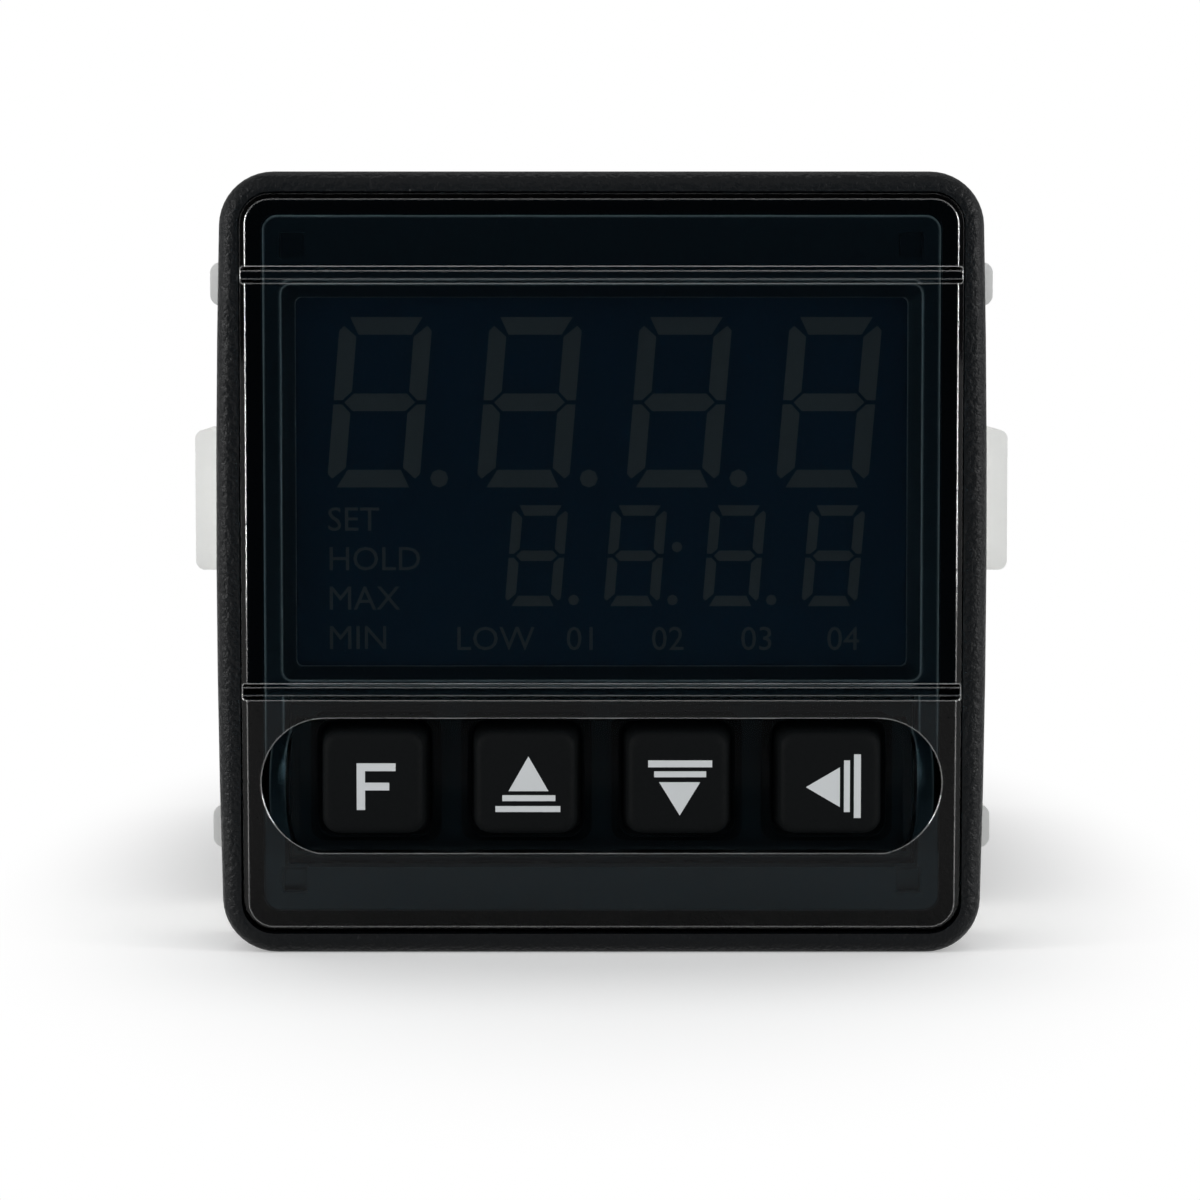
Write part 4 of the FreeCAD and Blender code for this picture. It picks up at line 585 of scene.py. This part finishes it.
slotted = add(tree, "GeometryNodeMeshBoolean", {
    "Mesh 1": whole.outputs["Mesh"]}, operation="DIFFERENCE")
for cutter in cutters:
    tree.links.new(cutter, slotted.inputs["Mesh 2"])
screw = add(tree, "GeometryNodeJoinGeometry")
for part in (slotted.outputs["Mesh"], shank.outputs[0]):
    tree.links.new(part, screw.inputs[0])

gaps = add(tree, "ShaderNodeMath", {0: sizes["Rows"], 1: -1.0}, operation="ADD").outputs[0]
tall = add(tree, "ShaderNodeMath", {0: gaps, 1: sizes["Pitch"]}, operation="MULTIPLY").outputs[0]
spots = add(tree, "GeometryNodeMeshGrid", {
    "Size X": sizes["Columns Apart"], "Size Y": tall, "Vertices X": 2, "Vertices Y": sizes["Rows"]})
angle = add(tree, "FunctionNodeRandomValue", {2: -ANGLE, 3: ANGLE, "Seed": 7}, data_type="FLOAT")
spin = add(tree, "ShaderNodeCombineXYZ", {"Z": angle.outputs[1]})
placed = add(tree, "GeometryNodeInstanceOnPoints", {
    "Points": spots.outputs["Mesh"], "Instance": screw.outputs[0], "Rotation": spin.outputs[0]})
solid = add(tree, "GeometryNodeRealizeInstances", {"Geometry": placed.outputs["Instances"]})
dressed = add(tree, "GeometryNodeSetMaterial", {
    "Geometry": solid.outputs["Geometry"], "Material": finishes["screw_steel"]})
add(tree, "NodeGroupOutput", {"Geometry": dressed.outputs["Geometry"]})

holder = bpy.data.objects.new("screw_holder", bpy.data.meshes.new("screw_holder"))
scene.collection.objects.link(holder)
holder.modifiers.new("columns", "NODES").node_group = tree
depsgraph = bpy.context.evaluated_depsgraph_get()
mesh = bpy.data.meshes.new_from_object(holder.evaluated_get(depsgraph))
bpy.data.objects.remove(holder)
centre = Vector(((screws_low.x + screws_high.x) / 2, screws_high.y - HEAD_DEPTH / 2,
                 (screws_low.z + screws_high.z) / 2))
mesh.transform(Matrix.Translation(centre) @ Matrix.Rotation(-math.pi / 2, 4, "X"))
mesh.materials.clear()
mesh.materials.append(finishes["screw_steel"])
screws = keep("plated_screws", mesh, "case")
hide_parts("terminal_screws")
print("screws", len(mesh.polygons), "faces")

# %% [markdown]
# Wires are joined by number, so the terminals are numbered on the rear face of their mouldings.

# %% Terminal numbers
NUMBER_X, NUMBER_LIFT, NUMBER_HEIGHT = 13.65, 1.6, 1.1
rear_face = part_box("terminal_block_right")[1].y
words = []
for i in range(SCREWS):
    z = (screws_high.z - HEAD - pitch * i) / MM + NUMBER_LIFT
    words.append((str(i + 1), NUMBER_X, z, NUMBER_HEIGHT))
    words.append((str(i + 1 + SCREWS), -NUMBER_X, z, NUMBER_HEIGHT))
lettering("terminal_numbers", words, "case", rear_face + FILM / 2, ink, mirrored=True)
print("numbers 1 to", len(words))

# %% [markdown]
# The studio is a white sweep. Close to the part the floor is paper that takes its soft shadow, and
# away from it the floor fades to plain white, as the background of the photograph does. It stops short
# in front, so that the window mirrors the dark side of the room, and only its sloping lower edge picks
# up the floor. Light that bounces off it is held low.

# %% Floor
FLOOR = CAD_BOX[0].z
FLOOR_FRONT, FLOOR_BACK, FLOOR_SIDE = -0.15, 4, 3
PAPER, GLOW, BOUNCE = 0.9, 0.16, 0.1
# The fade runs between two ovals, longer in depth than in width
OVAL_SHIFT, OVAL_DEPTH = -0.016, 0.4
FADE_FROM, FADE_TO = 0.024, 0.044

mesh = bpy.data.meshes.new("floor")
mesh.from_pydata([(-FLOOR_SIDE, FLOOR_FRONT, FLOOR), (FLOOR_SIDE, FLOOR_FRONT, FLOOR),
                  (FLOOR_SIDE, FLOOR_BACK, FLOOR), (-FLOOR_SIDE, FLOOR_BACK, FLOOR)],
                 [], [(0, 1, 2, 3)])
floor = bpy.data.objects.new("floor", mesh)
scene.collection.objects.link(floor)
floor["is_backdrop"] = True
material, tree = blank("white_sweep")
ray = add(tree, "ShaderNodeLightPath").outputs
seen = add(tree, "ShaderNodeMath", {
    0: ray["Is Camera Ray"], 1: ray["Is Glossy Ray"]}, operation="MAXIMUM").outputs[0]
seen = add(tree, "ShaderNodeMath", {
    0: seen, 1: ray["Is Transmission Ray"]}, operation="MAXIMUM").outputs[0]
paper = add(tree, "ShaderNodeBsdfDiffuse", {"Color": (PAPER, PAPER, PAPER, 1)})
glow = add(tree, "ShaderNodeEmission", {"Color": (1, 1, 1, 1), "Strength": GLOW})
both = add(tree, "ShaderNodeAddShader", {0: paper.outputs[0], 1: glow.outputs[0]})
place = add(tree, "ShaderNodeTexCoord").outputs["Object"]
oval = add(tree, "ShaderNodeMapping", {
    "Vector": place, "Location": (0, OVAL_SHIFT, -FLOOR), "Scale": (1, OVAL_DEPTH, 1)})
away = add(tree, "ShaderNodeVectorMath", {0: oval.outputs["Vector"]}, operation="LENGTH")
fade = add(tree, "ShaderNodeMapRange", {
    "Value": away.outputs["Value"], "From Min": FADE_FROM, "From Max": FADE_TO},
    interpolation_type="SMOOTHSTEP")
white = add(tree, "ShaderNodeEmission", {"Color": (1, 1, 1, 1), "Strength": 1.0})
sweep = add(tree, "ShaderNodeMixShader", {
    0: fade.outputs["Result"], 1: both.outputs[0], 2: white.outputs[0]})
plain = add(tree, "ShaderNodeBsdfDiffuse", {"Color": (BOUNCE, BOUNCE, BOUNCE, 1)})
shown = add(tree, "ShaderNodeMixShader", {0: seen, 1: plain.outputs[0], 2: sweep.outputs[0]})
add(tree, "ShaderNodeOutputMaterial", {"Surface": shown.outputs[0]})
mesh.materials.append(material)
print("floor at", round(FLOOR / MM, 2), "mm")

# %% [markdown]
# The room is white, with a dark opening behind the camera, dark flags in the plane of the face and a
# bright ring just behind that plane. The flags keep the chamfers of the window dark, and the ring
# lights the rim of the case. The ceiling is dimmer, so that the top of the white clamp keeps its tone.
# The world carries all that, and the eye sees plain white behind the part.

# %% Room and lamps
ROOM_STRENGTH = 2.0
# Height where the walls begin to dim, and the share that is left straight above
CEILING_FROM, CEILING = 0.3, 0.4
# Cosine of the angle to the way the face looks, and the tone there
ROOM = ((-1.0, "#909090"), (-0.46, "#909090"), (-0.4, "#f0f0f0"), (-0.15, "#f0f0f0"),
        (-0.11, "#464646"), (0.12, "#464646"), (0.24, "#d0d0d0"), (0.79, "#d0d0d0"),
        (0.93, "#38454f"))

world = bpy.data.worlds.new("white_room")
scene.world = world
world.use_nodes = True
tree = world.node_tree
tree.nodes.clear()
way = add(tree, "ShaderNodeTexCoord").outputs["Generated"]
ahead = add(tree, "ShaderNodeVectorMath", {0: way, 1: (0, -1, 0)}, operation="DOT_PRODUCT")
turn = add(tree, "ShaderNodeMapRange", {"Value": ahead.outputs["Value"], "From Min": -1.0})
ramp = add(tree, "ShaderNodeValToRGB", {"Fac": turn.outputs["Result"]})
band = ramp.color_ramp.elements
for index, (cosine, swatch) in enumerate(ROOM):
    stop = band[index] if index < 2 else band.new(1.0)
    stop.position = (cosine + 1) / 2
    stop.color = colour(swatch)
height = add(tree, "ShaderNodeSeparateXYZ", {"Vector": way}).outputs["Z"]
ceiling = add(tree, "ShaderNodeMapRange", {
    "Value": height, "From Min": CEILING_FROM, "To Min": 1.0, "To Max": CEILING}).outputs["Result"]
walls = add(tree, "ShaderNodeVectorMath", {
    0: ramp.outputs["Color"], "Scale": ceiling}, operation="SCALE")
eye = add(tree, "ShaderNodeLightPath").outputs["Is Camera Ray"]
backdrop = (1 / ROOM_STRENGTH, 1 / ROOM_STRENGTH, 1 / ROOM_STRENGTH, 1)
shown = add(tree, "ShaderNodeMix", {0: eye, 6: walls.outputs["Vector"], 7: backdrop}, data_type="RGBA")
room = add(tree, "ShaderNodeBackground", {"Color": shown.outputs[2], "Strength": ROOM_STRENGTH})
add(tree, "ShaderNodeOutputWorld", {"Surface": room.outputs[0]})


def lamp(name, place, width, height, watts):
    """A flat lamp that faces the part."""
    light = bpy.data.lights.new(name, "AREA")
    light.shape = "RECTANGLE"
    light.size, light.size_y = width, height
    light.energy = watts
    holder = bpy.data.objects.new(name, light)
    holder.location = place
    holder.rotation_euler = (-Vector(place)).to_track_quat("-Z", "Y").to_euler()
    scene.collection.objects.link(holder)


lamp("softbox_top", (0, 0.2, 0.65), 0.5, 0.16, 0.4)
lamp("softbox_left", (-0.65, -0.3, 0.06), 0.16, 0.5, 3.3)
lamp("softbox_right", (0.65, -0.3, 0.06), 0.16, 0.5, 3.0)

# %% [markdown]
# Blender must not change the part's size, so both boxes are printed.

# %% Size
VISUAL_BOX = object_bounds()
for name, box in (("cad", CAD_BOX), ("visual", VISUAL_BOX)):
    print(name, [round(v / MM, 2) for c in box for v in c])
